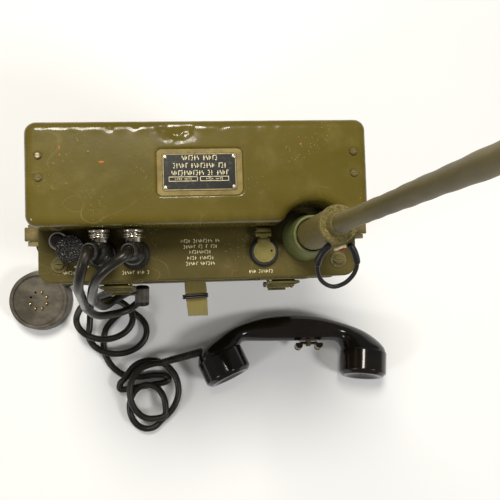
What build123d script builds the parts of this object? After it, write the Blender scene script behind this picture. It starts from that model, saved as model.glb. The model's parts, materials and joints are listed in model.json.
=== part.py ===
"""Portable backpack radio set: battery box, radio case, lid, whip antenna and corded handset.

Frame: millimetres, +Z up, origin on the floor under the centre of the case,
-Y is the operator's side with the open control panel, +Y is the hinge side of the lid.
"""
import os
from math import cos, pi, radians, sin

from build123d import *

# ---- driving dimensions ----
CASE_W = 292.0          # width of case, panel and lid
CASE_D = 136.0          # depth of case and panel
CORNER_R = 12.0         # plan corner radius of all sheet-metal boxes
WALL = 1.6              # sheet-metal thickness
BOX_TOP = 160.0         # top rim of the battery box
GASKET_T = 2.0          # rubber seals between the boxes and under the panel
PANEL_Z = 384.0         # working face of the control panel
PANEL_SKIRT = 16.0      # depth of the panel's turned-down skirt
LID_TOP = 438.0         # top of the closed lid
LID_GAP = 0.6           # lid rim above the panel
LID_FRONT = -21.0       # front face of the lid
FRONT = -CASE_D / 2
BACK = CASE_D / 2
RUN = 0.05              # radial running clearance of shafts and pins

# ---- control panel layout (x, y) ----
KNOB_AT = (-113.5, -38.0)
BUTTON_AT = (-127.5, -29.7)
PANEL_SCREWS = [(-127.0, -51.0), (129.0, -53.0), (-128.0, 56.0), (128.0, 56.0)]
MIC_JACK = (-88.0, -43.5)
PHONE_JACK = (-59.0, -43.5)
AUX_JACK = (59.0, -44.0)
JACKS = [MIC_JACK, PHONE_JACK, AUX_JACK]
JACK_HOLE_R = 9.0
BOOT_R = 13.2
BOOT_H = 6.0
TUNING_AT = (-60.0, 25.0)
DRUM_AT = (-60.0, 0.0)

# ---- antenna ----
ANTENNA_AT = (98.5, -31.5)
CUP_R = 22.0
CUP_TOP_R = 17.0
CUP_H = 39.0
SLEEVE_R = 13.7
FLANGE_R = 14.5
FLANGE_Z = PANEL_Z + 143.0
ROD_R = 5.7
FLEX_Z = (FLANGE_Z + 12.0, FLANGE_Z + 82.0)     # bendable length of the rod
ROD_TOP = PANEL_Z + 430.0
WHIP_R = 2.5
WHIP_TOP = PANEL_Z + 500.0

# ---- latches, brackets and hinges ----
LATCH_X = 78.0
LATCH_PIN_Z = 346.0
LATCH_ARM = 8.0
BAIL_PIN_R = 1.2
LATCH_PIN_Y = FRONT - 6.5
BRACKET_Y = -22.0
BRACKET_Z = 366.0
HINGE_X = 92.0
HINGE_Y = BACK + 4.5
HINGE_Z = PANEL_Z + 1.0
KNUCKLE_R = 3.5
HINGE_PIN_R = 1.6

# ---- cords and handset ----
CORD_R = 4.5
JUNCTION_ENDS = ((-67.0, -95.0, 187.0), (-66.0, -72.5, 192.0))
JUNCTION_R = 8.5
FLOOR_CORD_Z = CORD_R + 0.35
CORD_END = (-2.5, -169.7, 30)            # where the cord meets the handset
HANDSET_AT = (131.5, -161.5)
HANDSET_TURN = -1.7
HANDSET_ROLL = 15.0
CAP_R = 33.5
CAP_H = 30.0
CAP_EDGE = 5.0
RIM_REACH = 13.4
FLOOR_GAP = 0.3
MOUTH_SEAT = (-101.0, -16.0)
MOUTH_TILT = 25.0
EAR_SEAT = (107.5, -13.0)
EAR_TILT = -6.0
PLUG_AT = (-221.0, -88.0)
PLUG_R = 40.0
PLUG_H = 30.0

os.makedirs("parts", exist_ok=True)
NODES = {}


# ---- helpers ----
def block(x, y, z):
    """Box from three (low, high) pairs."""
    size = [high - low for low, high in (x, y, z)]
    middle = [(low + high) / 2 for low, high in (x, y, z)]
    return Pos(*middle) * Box(*size)


def rod(start, end, radius, end_radius=None):
    """Round bar or cone from start to end."""
    plane = Plane(origin=start, z_dir=Vector(*end) - Vector(*start))
    length = (Vector(*end) - Vector(*start)).length
    if end_radius is None or end_radius == radius:
        return extrude(plane * Circle(radius), length)
    return plane * Pos(0, 0, length / 2) * Cone(radius, end_radius, length)


def post(at, z_low, z_high, radius, top_radius=None):
    """Upright round bar standing at (x, y)."""
    return rod((at[0], at[1], z_low), (at[0], at[1], z_high), radius, top_radius)


def ring(at, z_low, z_high, outer, inner):
    """Upright ring standing at (x, y)."""
    return post(at, z_low, z_high, outer) - post(at, z_low - 1, z_high + 1, inner)


def plate(width, depth, z_low, z_high, radius, at=(0.0, 0.0)):
    """Rounded rectangle seen from above, extruded between two heights."""
    outline = RectangleRounded(width, depth, radius)
    return extrude(Pos(at[0], at[1], z_low) * outline, z_high - z_low)


def cord(points, radius):
    """Round cord that runs smoothly through the points."""
    path = Spline(*[Vector(*p) for p in points])
    return sweep(Plane(origin=path @ 0, z_dir=path % 0) * Circle(radius), path=path)


def coil(centre, radii, z_low, z_high, start, turn):
    """Waypoints every 45 degrees round a flat loop that climbs from z_low to z_high."""
    steps = max(2, round(abs(turn) / 45))
    points = []
    for step in range(steps + 1):
        angle = radians(start + turn * step / steps)
        x = centre[0] + radii[0] * cos(angle)
        y = centre[1] + radii[1] * sin(angle)
        points.append((x, y, z_low + (z_high - z_low) * step / steps))
    return points


def slotted_screw(at, z_seat, head_r, head_h, shank_r, shank_length):
    """Round-head slotted screw, head standing on z_seat."""
    head = post(at, z_seat, z_seat + head_h, head_r)
    head = fillet(head.edges().group_by(Axis.Z)[-1], head_h * 0.45)
    slot_w = head_r * 0.28
    slot = block((at[0] - head_r, at[0] + head_r), (at[1] - slot_w / 2, at[1] + slot_w / 2),
                 (z_seat + head_h * 0.5, z_seat + head_h + 1))
    shank = post(at, z_seat - shank_length, z_seat, shank_r)
    return (head - slot) + shank


def group(solids):
    """Identical pieces that share one node."""
    return Compound(children=[Compound(children=s.solids()) for s in solids])


def save(name, shape):
    NODES[name] = shape
    export_step(shape, f"parts/{name}.step")


# ---- battery box ----
def battery_box():
    box = plate(CASE_W, CASE_D, 0, BOX_TOP, CORNER_R)
    box = fillet(box.edges().group_by(Axis.Z)[0], 5)
    hollow = plate(CASE_W - 2 * WALL, CASE_D - 2 * WALL, WALL, BOX_TOP + 1, CORNER_R - WALL)
    bead = plate(CASE_W + 3, CASE_D + 3, BOX_TOP - 12, BOX_TOP - 4, CORNER_R + 1.5)
    bead = fillet(bead.edges().group_by(Axis.Z)[-1] + bead.edges().group_by(Axis.Z)[0], 1.2)
    gland_hole = rod((-CASE_W / 2 - 5, -40, 30), (-CASE_W / 2 + 5, -40, 30), 7.5)
    return box + bead - hollow - gland_hole


def battery_block():
    pack = fillet(block((-130, 130), (-56, 56), (WALL, WALL + 122)).edges().filter_by(Axis.Z), 3)
    return pack - post((0, 0), WALL + 116, WALL + 123, 19)


def case_seals():
    """Rubber seals under the radio case and under the control panel."""
    return group([rim_seal(BOX_TOP), rim_seal(CASE_HIGH)])


def rim_seal(z_low):
    outer = plate(CASE_W - 0.4, CASE_D - 0.4, z_low, z_low + GASKET_T, CORNER_R)
    return outer - plate(CASE_W - 12, CASE_D - 12, z_low - 1, z_low + GASKET_T + 1, CORNER_R - 5)


# ---- radio case ----
CASE_LOW = BOX_TOP + GASKET_T
CASE_HIGH = PANEL_Z - PANEL_SKIRT - GASKET_T


def radio_case():
    case = plate(CASE_W, CASE_D, CASE_LOW, CASE_HIGH, CORNER_R)
    for z_mid in (CASE_LOW + 8, CASE_HIGH - 62):
        band = plate(CASE_W + 2.4, CASE_D + 2.4, z_mid - 4, z_mid + 4, CORNER_R + 1.2)
        case += fillet(band.edges().group_by(Axis.Z)[-1] + band.edges().group_by(Axis.Z)[0], 1)
    return case - plate(CASE_W - 2 * WALL, CASE_D - 2 * WALL, CASE_LOW + WALL, CASE_HIGH + 1,
                        CORNER_R - WALL)


def control_panel():
    pan = plate(CASE_W, CASE_D, PANEL_Z - PANEL_SKIRT, PANEL_Z, CORNER_R)
    pan = fillet(pan.edges().group_by(Axis.Z)[-1], 2)
    under = PANEL_Z - 3
    pan -= plate(CASE_W - 5, CASE_D - 5, PANEL_Z - PANEL_SKIRT - 1, under, CORNER_R - 2.5)
    holes = [(KNOB_AT, 3.2), (BUTTON_AT, 5.0), (ANTENNA_AT, 9.0), (TUNING_AT, 3 + RUN), (DRUM_AT, 3 + RUN)]
    holes += [(at, JACK_HOLE_R) for at in JACKS] + [(at, 2.6) for at in PANEL_SCREWS]
    for at, radius in holes:
        pan -= post(at, under - 1, PANEL_Z + 1, radius)
    return pan


def panel_screws():
    screws = []
    for at in PANEL_SCREWS:
        washer = post(at, PANEL_Z, PANEL_Z + 1.2, 7.4) - ring(at, PANEL_Z + 0.7, PANEL_Z + 2, 6.4, 5.6)
        screws.append(washer + slotted_screw(at, PANEL_Z + 1.2, 4.6, 2.6, 2.5, 14))
    return group(screws)


# ---- radio inside ----
CHASSIS_Z = CASE_LOW + 40


def chassis():
    deck = block((-136, 136), (-58, 58), (CHASSIS_Z, CHASSIS_Z + 1.6))
    for side in (-1, 1):
        x = sorted((side * 134.4, side * 136))
        deck += block(x, (-50, 50), (CHASSIS_Z, PANEL_Z - 3.2))
    for x, y in TUBE_SPOTS:
        deck -= post((x, y), CHASSIS_Z - 1, CHASSIS_Z + 3, 7)
    return deck


TUBE_SPOTS = [(-108 + 27 * i, y) for y in (-40, 40) for i in range(9)]


def vacuum_tubes():
    tubes = []
    for at in TUBE_SPOTS:
        base = post(at, CHASSIS_Z - 8, CHASSIS_Z + 4, 6.8)
        glass = fillet(post(at, CHASSIS_Z + 4, CHASSIS_Z + 46, 8.5).edges().group_by(Axis.Z)[-1], 6)
        tubes.append(base + glass)
    return group(tubes)


def coil_cans():
    cans = []
    for x in (20, 50, 80, 110):
        can = block((x - 10, x + 10), (-14, 6), (CHASSIS_Z + 1.6, CHASSIS_Z + 58))
        cans.append(fillet(can.edges().filter_by(Axis.Z), 2))
    return group(cans)


CAP_PLATE_Z = [CHASSIS_Z + 60 + 5 * i for i in range(9)]


def tuning_capacitor():
    """Fixed plates and frame of the tuning capacitor; the rotor shaft stands at DRUM_AT."""
    x, y = DRUM_AT
    low = CHASSIS_Z + 50
    frame = block((x - 24, x + 24), (y - 26, y + 24), (low, low + 3))
    frame += block((x - 24, x + 24), (y - 26, y + 24), (CAP_PLATE_Z[-1] + 8, CAP_PLATE_Z[-1] + 11))
    for side in (-1, 1):
        post_x = sorted((x + side * 21, x + side * 24))
        frame += block(post_x, (y - 26, y - 20), (CHASSIS_Z + 1.6, CAP_PLATE_Z[-1] + 11))
    for z in CAP_PLATE_Z:
        frame += block((x - 24, x + 24), (y - 25, y - 5), (z, z + 1))
    hole = post(DRUM_AT, low - 1, CAP_PLATE_Z[-1] + 12, 3 + RUN)
    return frame - hole - post(DRUM_AT, low + 4, CAP_PLATE_Z[-1] + 7, 7)


def capacitor_rotor():
    """Rotor shaft with half-round plates, the reduction gear and the tuning dial above the panel."""
    shaft = post(DRUM_AT, CHASSIS_Z + 46, PANEL_Z + 3, 3)
    for z in CAP_PLATE_Z[:-1]:
        disc = post(DRUM_AT, z + 2.5, z + 3.5, 18)
        disc -= block((DRUM_AT[0] - 20, DRUM_AT[0] + 20), (DRUM_AT[1] - 20, DRUM_AT[1]), (z, z + 5))
        shaft += disc
    gear_z = (PANEL_Z - 12, PANEL_Z - 8)
    shaft += gear(DRUM_AT, gear_z, 36, 0)
    return shaft + post(DRUM_AT, PANEL_Z + 3, PANEL_Z + 5, 12)


GEAR_MODULE = 1.0


def gear(at, z_span, teeth, phase):
    """Simple spur wheel with straight-sided teeth on the module circle."""
    pitch_r = GEAR_MODULE * teeth / 2
    wheel = post(at, z_span[0], z_span[1], pitch_r - 1.1)
    tooth_w = pi * GEAR_MODULE / 2 * 0.62
    for i in range(teeth):
        tooth = block((0, pitch_r + 0.75), (-tooth_w / 2, tooth_w / 2), z_span)
        wheel += Pos(at[0], at[1], 0) * Rot(0, 0, phase + 360 * i / teeth) * tooth
    return wheel


def tuning_knob():
    """Knob, shaft and 14-tooth pinion that drives the rotor's 36-tooth wheel."""
    shaft = post(TUNING_AT, PANEL_Z - 16, PANEL_Z + 8, 3)
    pinion = gear(TUNING_AT, (PANEL_Z - 12, PANEL_Z - 8), 14, 270 + 180 / 14)
    return shaft + pinion + fluted_knob(TUNING_AT, PANEL_Z + 4, 14, 11, 24)


def fluted_knob(at, z_low, height, radius, flutes):
    knob = post(at, z_low, z_low + height, radius)
    knob = fillet(knob.edges().group_by(Axis.Z)[-1], 1.2)
    for i in range(flutes):
        angle = 2 * pi * i / flutes
        groove = (at[0] + (radius + 0.5) * cos(angle), at[1] + (radius + 0.5) * sin(angle))
        knob -= post(groove, z_low - 1, z_low + height + 1, 1.1)
    return knob


# ---- panel fittings ----
def volume_control():
    body = post(KNOB_AT, PANEL_Z - 21, PANEL_Z - 5, 11)
    body += post(KNOB_AT, PANEL_Z - 5, PANEL_Z - 3, 5) + post(KNOB_AT, PANEL_Z, PANEL_Z + 3, 5)
    neck = post(KNOB_AT, PANEL_Z - 3.2, PANEL_Z + 0.2, 3.2)
    return body + neck - post(KNOB_AT, PANEL_Z - 18, PANEL_Z + 5, 2 + RUN)


def volume_knob():
    shaft = post(KNOB_AT, PANEL_Z - 16, PANEL_Z + 14, 2)
    return shaft + fluted_knob(KNOB_AT, PANEL_Z + 11.5, 14, 12.4, 26)


def button_bezel():
    """Nut round the lamp button, on a threaded barrel through the panel."""
    rim = ring(BUTTON_AT, PANEL_Z, PANEL_Z + 2.4, 8.2, 6.5)
    seat = ring(BUTTON_AT, PANEL_Z, PANEL_Z + 0.8, 6.8, 3.2)
    return rim + seat + ring(BUTTON_AT, PANEL_Z - 8, PANEL_Z + 1, 4.95, 3.2)


def lamp_button():
    cap = post(BUTTON_AT, PANEL_Z + 3.2, PANEL_Z + 9.5, 6.3)
    cap = fillet(cap.edges().group_by(Axis.Z)[-1], 2.2)
    return cap + post(BUTTON_AT, PANEL_Z - 12, PANEL_Z + 3.2, 3.2 - RUN)


def jack_bodies():
    jacks = []
    for at in JACKS:
        flange = ring(at, PANEL_Z, PANEL_Z + 0.8, 11, 4)
        jacks.append(flange + ring(at, PANEL_Z - 22, PANEL_Z, JACK_HOLE_R - 0.2, 4))
    return group(jacks)


def jack_boots():
    boots = []
    for at in JACKS:
        boot = post(at, PANEL_Z + 0.8, PANEL_Z + BOOT_H, BOOT_R, BOOT_R - 1.2)
        boots.append(boot - post(at, PANEL_Z, PANEL_Z + BOOT_H + 1, 8.0))
    return group(boots)


AUX_HINGE = (AUX_JACK[0] - 0.5, AUX_JACK[1] + 15.6, PANEL_Z + BOOT_H + 2.2)


def aux_hinge():
    x, y, z = AUX_HINGE
    leaf = block((x - 7, x + 7), (y - 1.5, y + 4), (PANEL_Z, PANEL_Z + 1.2))
    for side in (-1, 1):
        ear_x = sorted((x + side * 4.2, x + side * 6.8))
        ear = block(ear_x, (y - 2, y + 3), (PANEL_Z + 1.2, z))
        leaf += ear + rod((ear_x[0], y, z), (ear_x[1], y, z), 2)
    leaf -= post((x, y + 2.2), PANEL_Z - 1, PANEL_Z + 5, 1)
    return leaf + rod((x - 6.8, y, z), (x + 6.8, y, z), 0.9)


def aux_cover():
    """Spring cover over the spare jack, with its barrel round the hinge pin."""
    x, y, z = AUX_HINGE
    lid_z = (PANEL_Z + BOOT_H + 0.3, PANEL_Z + BOOT_H + 1.9)
    disc = post(AUX_JACK, lid_z[0], lid_z[1], 10.0)
    neck = block((x - 3.6, x + 3.6), (AUX_JACK[1] + 5, y), lid_z)
    cover = disc + neck + rod((x - 3.8, y, z), (x + 3.8, y, z), 2)
    cover -= post((AUX_JACK[0] + 6.5, AUX_JACK[1] + 0.5), lid_z[0] - 1, lid_z[1] + 1, 1.1)
    return cover - rod((x - 5, y, z), (x + 5, y, z), 0.9 + RUN)


# ---- lid ----
LID_EDGE_R = 8.0
LID_CORNER_R = 10.0
SCOOP_R = 29.0
SCOOP_LIP_R = 8.5
NAMEPLATE_AT = (0.5, 23.0)
LID_SCREWS = [(side * 133.5, y) for side in (-1, 1) for y in (20.0, 38.5)]


def lid_outline(inset):
    depth = BACK - LID_FRONT
    outline = Pos(0, LID_FRONT + depth / 2) * RectangleRounded(
        CASE_W - 2 * inset, depth - 2 * inset, LID_CORNER_R - inset)
    scoop = Pos(*ANTENNA_AT) * Circle(SCOOP_R + inset)
    outline -= scoop
    lips = [v for v in outline.vertices() if abs(v.Y - LID_FRONT - inset) < 0.01 and 60 < v.X < 136
            and abs((v.X - ANTENNA_AT[0]) ** 2 + (v.Y - ANTENNA_AT[1]) ** 2 - (SCOOP_R + inset) ** 2) < 1]
    return fillet(lips, SCOOP_LIP_R - inset)


def lid_block(inset, z_low, z_high, edge_r):
    solid = extrude(Pos(0, 0, z_low) * lid_outline(inset), z_high - z_low)
    return fillet(solid.edges().group_by(Axis.Z)[-1], edge_r)


def lid_shell():
    low = PANEL_Z + LID_GAP
    shell = lid_block(0, low, LID_TOP, LID_EDGE_R)
    shell -= lid_block(WALL, low - 1, LID_TOP - WALL, LID_EDGE_R - WALL)
    shell += plate(84, 50, LID_TOP - 3.6, LID_TOP - 1, 6, NAMEPLATE_AT)
    shell -= plate(74, 41, LID_TOP - 1.8, LID_TOP + 1, 5, NAMEPLATE_AT)
    for at in LID_SCREWS:
        shell -= post(at, LID_TOP - 5, LID_TOP + 1, 1.6)
    return shell


def nameplate():
    base_z = LID_TOP - 1.8
    body = plate(63, 32, base_z, base_z + 0.9, 2, NAMEPLATE_AT)
    for x, y in rivet_spots():
        body -= post((x, y), base_z - 1, base_z + 2, 1.0)
    return body


def rivet_spots():
    return [(NAMEPLATE_AT[0] + sx * 29, NAMEPLATE_AT[1] + sy * 13) for sx in (-1, 1) for sy in (-1, 1)]


def nameplate_rivets():
    base_z = LID_TOP - 1.8
    rivets = []
    for at in rivet_spots():
        head = fillet(post(at, base_z + 0.9, base_z + 1.8, 1.7).edges().group_by(Axis.Z)[-1], 0.7)
        rivets.append(head + post(at, base_z, base_z + 0.9, 0.95))
    return group(rivets)


def lid_screws():
    return group([slotted_screw(at, LID_TOP, 3.2, 1.8, 1.55, 5) for at in LID_SCREWS])


def lid_seal():
    low = PANEL_Z + LID_GAP + 2
    outer = extrude(Pos(0, 0, low) * lid_outline(WALL + 0.2), 3)
    return outer - extrude(Pos(0, 0, low - 1) * lid_outline(WALL + 4.2), 5)


def knuckle(x_span, foot):
    """Hinge barrel with a leaf that reaches the wall at BACK, above or below the pin."""
    barrel = rod((x_span[0], HINGE_Y, HINGE_Z), (x_span[1], HINGE_Y, HINGE_Z), KNUCKLE_R)
    leaf = block(x_span, (BACK, BACK + 1.6), foot)
    web = block(x_span, (BACK, HINGE_Y), sorted((HINGE_Z, foot[0] if foot[0] > HINGE_Z else foot[1])))
    return barrel + leaf + web


def bore_hinge(shape, x):
    return shape - rod((x - 30, HINGE_Y, HINGE_Z), (x + 30, HINGE_Y, HINGE_Z), HINGE_PIN_R + RUN)


def case_hinge_leaves():
    leaves = []
    for x in (-HINGE_X, HINGE_X):
        leaf = block((x - 20, x + 20), (BACK, BACK + 1.6), (PANEL_Z - 15, PANEL_Z - 6))
        for end in (-1, 1):
            span = sorted((x + end * 7.2, x + end * 20))
            leaf += knuckle(span, (PANEL_Z - 15, PANEL_Z - 3))
        leaves.append(bore_hinge(leaf, x))
    return group(leaves)


def lid_hinge_leaves():
    leaves = []
    for x in (-HINGE_X, HINGE_X):
        leaf = knuckle((x - 6.9, x + 6.9), (HINGE_Z + 2.5, HINGE_Z + 14))
        leaf += block((x - 20, x + 20), (BACK, BACK + 1.6), (HINGE_Z + 5, HINGE_Z + 18))
        leaves.append(bore_hinge(leaf, x))
    return group(leaves)


def lid_hinge_pins():
    pins = []
    for x in (-HINGE_X, HINGE_X):
        pin = rod((x - 22, HINGE_Y, HINGE_Z), (x + 22, HINGE_Y, HINGE_Z), HINGE_PIN_R)
        head = rod((x - 22, HINGE_Y, HINGE_Z), (x - 20.2, HINGE_Y, HINGE_Z), 2.8)
        pins.append(pin + head)
    return group(pins)


# ---- front latches ----
def latch_plates():
    plates = []
    y, z = LATCH_PIN_Y, LATCH_PIN_Z
    for x in (-LATCH_X, LATCH_X):
        base = block((x - 22, x + 22), (FRONT - 1.5, FRONT), (z - 16, z + 10))
        for side in (-1, 1):
            ear_x = sorted((x + side * 10.5, x + side * 12.5))
            base += block(ear_x, (y - 1, FRONT), (z - 4, z + 4)) + rod(
                (ear_x[0], y, z), (ear_x[1], y, z), 4)
        plates.append(base + rod((x - 12.5, y, z), (x + 12.5, y, z), 1.5))
    return group(plates)


def latch_keepers():
    keepers = []
    for x in (-LATCH_X, LATCH_X):
        base = block((x - 22, x + 22), (FRONT - 1.5, FRONT), (PANEL_Z - 15, PANEL_Z - 4))
        shelf = block((x - 11, x + 11), (FRONT - 7, FRONT), (PANEL_Z - 13, PANEL_Z - 10.5))
        keepers.append(base + shelf)
    return group(keepers)


def latch_lever(x):
    """Lever that swings out and up about the pin in the latch plate's ears."""
    y, z = LATCH_PIN_Y, LATCH_PIN_Z
    hub = rod((x - 10.2, y, z), (x + 10.2, y, z), 3)
    arm = block((x - 9, x + 9), (y - 3.5, y - 1), (z - 24, z))
    side_y = (y - 2, y + 1.6)
    for side in (-1, 1):
        cheek_x = sorted((x + side * 7.2, x + side * 9.2))
        arm += block(cheek_x, side_y, (z - LATCH_ARM - 2.4, z))
    tip = block((x - 9, x + 9), (y - 6, y - 1), (z - 26, z - 24))
    arm = hub + arm + tip - rod((x - 11, y, z), (x + 11, y, z), 1.5 + RUN)
    pivot = rod((x - 15.6, y, z - LATCH_ARM), (x + 15.6, y, z - LATCH_ARM), BAIL_PIN_R)
    return arm + pivot


def latch_bail(x):
    """Wire loop from the lever's pivot up over the keeper's shelf."""
    y, low = LATCH_PIN_Y, LATCH_PIN_Z - LATCH_ARM
    top = PANEL_Z - 10.5 + 1.45
    bail = rod((x - 14.6, y + 2, top), (x + 14.6, y + 2, top), 1.4)
    for side in (-1, 1):
        leg_x = x + side * 14
        bail += rod((leg_x, y, low), (leg_x, y + 2, top), 1.4)
        eye_x = sorted((x + side * 12.8, x + side * 15.2))
        bail += rod((eye_x[0], y, low), (eye_x[1], y, low), 2.6)
    return bail - rod((x - 16, y, low), (x + 16, y, low), BAIL_PIN_R + RUN)


# ---- side brackets ----
def bracket(side):
    wall = side * CASE_W / 2
    x_plate = sorted((wall, wall + side * 2))
    x_pin, z_pin = wall + side * 8, BRACKET_Z - 8
    base = block(x_plate, (BRACKET_Y - 14, BRACKET_Y + 14), (BRACKET_Z - 36, BRACKET_Z - 2))
    for y in (BRACKET_Y - 8, BRACKET_Y + 8):
        x_ear = sorted((wall, wall + side * 8))
        ear = block(x_ear, (y - 2, y + 2), (BRACKET_Z - 14, BRACKET_Z - 2))
        base += ear + rod((x_pin, y - 2, z_pin), (x_pin, y + 2, z_pin), 6)
    return base + rod((x_pin, BRACKET_Y - 10, z_pin), (x_pin, BRACKET_Y + 10, z_pin), 1.8)


def bracket_ring(side):
    """D-ring whose straight bar turns on the bracket's pin."""
    x = side * (CASE_W / 2 + 8)
    z = BRACKET_Z - 8
    barrel = rod((x, BRACKET_Y - 5.7, z), (x, BRACKET_Y + 5.7, z), 4)
    loop = Pos(x, BRACKET_Y, z - 25) * Rot(0, 90, 0) * Torus(13, 2.2)
    lug = rod((x, BRACKET_Y, z), (x, BRACKET_Y, z - 12), 2.6)
    bore = rod((x, BRACKET_Y - 8, z), (x, BRACKET_Y + 8, z), 1.8 + RUN)
    return barrel + loop + lug - bore


# ---- webbing pull tab ----
def webbing_tab():
    top = (FRONT - 0.3, 358.0)
    profile = Plane.YZ * make_face(Polyline(
        (top[0], top[1]), (top[0] - 16, top[1] - 2), (top[0] - 34, top[1] - 11),
        (top[0] - 33, top[1] - 13.2), (top[0] - 16, top[1] - 4.4), (top[0], top[1] - 2.6),
        close=True))
    return Pos(-1, 0, 0) * extrude(profile, 10, both=True)


def tab_keeper():
    y, z = FRONT - 15.5, 354.8
    outer = block((-12.6, 10.6), (y - 3, y + 3), (z - 2.6, z + 2.8))
    inner = block((-11.2, 9.2), (y - 4, y + 4), (z - 1.9, z + 1.9))
    return Pos(0, y, z) * Rot(7, 0, 0) * Pos(0, -y, -z) * (outer - inner)


# ---- antenna ----
def antenna_cup():
    cup = post(ANTENNA_AT, PANEL_Z, PANEL_Z + 8, CUP_R, CUP_R - 1.5)
    cup += post(ANTENNA_AT, PANEL_Z + 8, PANEL_Z + CUP_H, CUP_R - 1.5, CUP_TOP_R)
    cup += post(ANTENNA_AT, PANEL_Z - 12, PANEL_Z, 8.8)
    cup = cup - post(ANTENNA_AT, PANEL_Z + 8, PANEL_Z + CUP_H + 1, SLEEVE_R + 0.8)
    return cup


def antenna_sleeve():
    """Textured sleeve and flange that screw down into the cup."""
    low = PANEL_Z + 9
    sleeve = post(ANTENNA_AT, low, FLANGE_Z - 8, SLEEVE_R)
    flange = fillet(post(ANTENNA_AT, FLANGE_Z - 8, FLANGE_Z, FLANGE_R).edges(), 1.4)
    boss = post(ANTENNA_AT, FLANGE_Z, FLANGE_Z + 10, 9.5, 8)
    return sleeve + flange + boss


def antenna_gooseneck():
    return post(ANTENNA_AT, FLANGE_Z + 10.2, FLEX_Z[1], ROD_R)


def antenna_rod():
    body = post(ANTENNA_AT, FLEX_Z[1] + 0.2, ROD_TOP, ROD_R)
    return fillet(body.edges().group_by(Axis.Z)[-1], 3)


def antenna_whip():
    whip = post(ANTENNA_AT, ROD_TOP, WHIP_TOP - 5, WHIP_R, WHIP_R * 0.7)
    return whip + Pos(ANTENNA_AT[0], ANTENNA_AT[1], WHIP_TOP - 5) * Sphere(4)


def antenna_loop():
    """Stiff wire ring that hangs forward from under the flange."""
    x, y = ANTENNA_AT
    z = FLANGE_Z - 18
    points = [(x + 5, y - 15.5, z), (x - 8, y - 24, z - 10), (x - 13, y - 33, z - 26),
              (x - 4, y - 42, z - 40), (x + 8, y - 43, z - 40), (x + 18, y - 34, z - 26),
              (x + 17, y - 24, z - 10), (x + 9, y - 15, z)]
    return cord(points, 1.9)


# ---- plugs and cords ----
def plug_body(jack, exit_at):
    """Angled plug: barrel on the jack boot, boss for the cord, boss for the clamp gland."""
    x, y = jack
    base = PANEL_Z + BOOT_H + 0.2
    barrel = fillet(post(jack, base, base + 27, 10.5).edges().group_by(Axis.Z)[-1], 6)
    tip = post(jack, PANEL_Z - 10, base, 3.9)
    cord_boss = rod((exit_at[0] + 4.5, exit_at[1] - 2, base + 10), exit_at, 8, 7.4)
    gland_boss = rod((x, y + 4, base + 21), (x, y + 9.5, base + 21), 7)
    return barrel + tip + cord_boss + gland_boss


MIC_EXIT = (-95.0, -41.0, 425.0)
PHONE_EXIT = (-61.8, -42.0, 425.0)
GLAND_Z = PANEL_Z + BOOT_H + 21.2
GLAND_L = 12.0


def plug_bodies():
    return group([plug_body(MIC_JACK, MIC_EXIT), plug_body(PHONE_JACK, PHONE_EXIT)])


def plug_glands():
    """Ribbed nickel clamp nuts on the back of each plug."""
    bodies = plug_bodies()
    glands = []
    for x, jack_y in (MIC_JACK, PHONE_JACK):
        y = jack_y + 9.7
        nut = rod((x, y, GLAND_Z), (x, y + GLAND_L, GLAND_Z), 6.6)
        for start in (3.0, 6.0, 9.4):
            nut += rod((x, y + start, GLAND_Z), (x, y + start + 1.8, GLAND_Z), 8.6)
        glands.append(nut - bodies)
    return group(glands)


def plug_cords():
    """Two plug cords that hang in front of the case and enter the side of the junction."""
    mic = [(MIC_EXIT[0], MIC_EXIT[1], MIC_EXIT[2] + 0.2), (-96.5, -46, 434), (-101, -58, 430),
           (-109, -77, 388), (-117, -88, 310), (-120, -99, 245), (-112, -105, 212), (-99, -104, 192),
           (-84, -100, 184), (-73, -93, 184), (-67, -87, 188)]
    phone = [(PHONE_EXIT[0], PHONE_EXIT[1], PHONE_EXIT[2] + 0.2), (-64.5, -46.5, 433), (-74.5, -53, 432),
             (-86.5, -62, 424), (-95.5, -73.5, 398), (-99.5, -80, 377), (-104, -87, 320), (-107, -92, 255),
             (-104, -93, 224), (-96, -87, 206), (-84, -80, 198), (-74, -77, 194), (-67, -77, 191)]
    return group([cord(run, CORD_R) - cord_junction() - plug_bodies() for run in (mic, phone)])


def cord_junction():
    return fillet(rod(*JUNCTION_ENDS, JUNCTION_R).edges(), 2)


def handset_cord():
    """Cord from the junction: two loose loops, a tangle of two rings, then the handset."""
    hang = [(-66.5, -82, 179.3), (-66.9, -82, 175), (-70, -81.5, 165), (-82, -79, 149),
            (-103, -78, 124), (-128, -84, 96), (-152, -94, 70)]
    upper = coil((-129, -117), (38, 28), 44, 21, 170, 310)
    lower = coil((-114, -137), (41, 31), 19, FLOOR_CORD_Z, 160, 275)
    drop = [(-128, -127, FLOOR_CORD_Z), (-135, -148, FLOOR_CORD_Z), (-133, -169, FLOOR_CORD_Z),
            (-123, -188, FLOOR_CORD_Z), (-106, -202, FLOOR_CORD_Z), (-86, -210, FLOOR_CORD_Z),
            (-64, -212, FLOOR_CORD_Z), (-44, -217, FLOOR_CORD_Z)]
    outer = coil((-68, -229), (37, 46), FLOOR_CORD_Z + 0.3, 17, 5, -275)
    inner = coil((-67, -219), (33, 38), 18.5, 29, -315, -315)
    lead = [(-40, -178, 29.5), (-24, -175, 29.8), (-12, -172, 30), CORD_END]
    return cord(hang + upper + lower + drop + outer + inner + lead, CORD_R)


# ---- handset ----
def handset_place(shape):
    """Lay the handset on its side: roll, turn and lift it off the floor."""
    return Pos(HANDSET_AT[0], HANDSET_AT[1], HANDSET_LIFT) * Rot(0, 0, HANDSET_TURN) * Rot(
        -HANDSET_ROLL, 0, 0) * shape


# The lowest point is on a cap rim, RIM_REACH in front of the grip's axis.
HANDSET_LIFT = CAP_R * cos(radians(HANDSET_ROLL)) - RIM_REACH * sin(radians(HANDSET_ROLL)) + FLOOR_GAP


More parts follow.
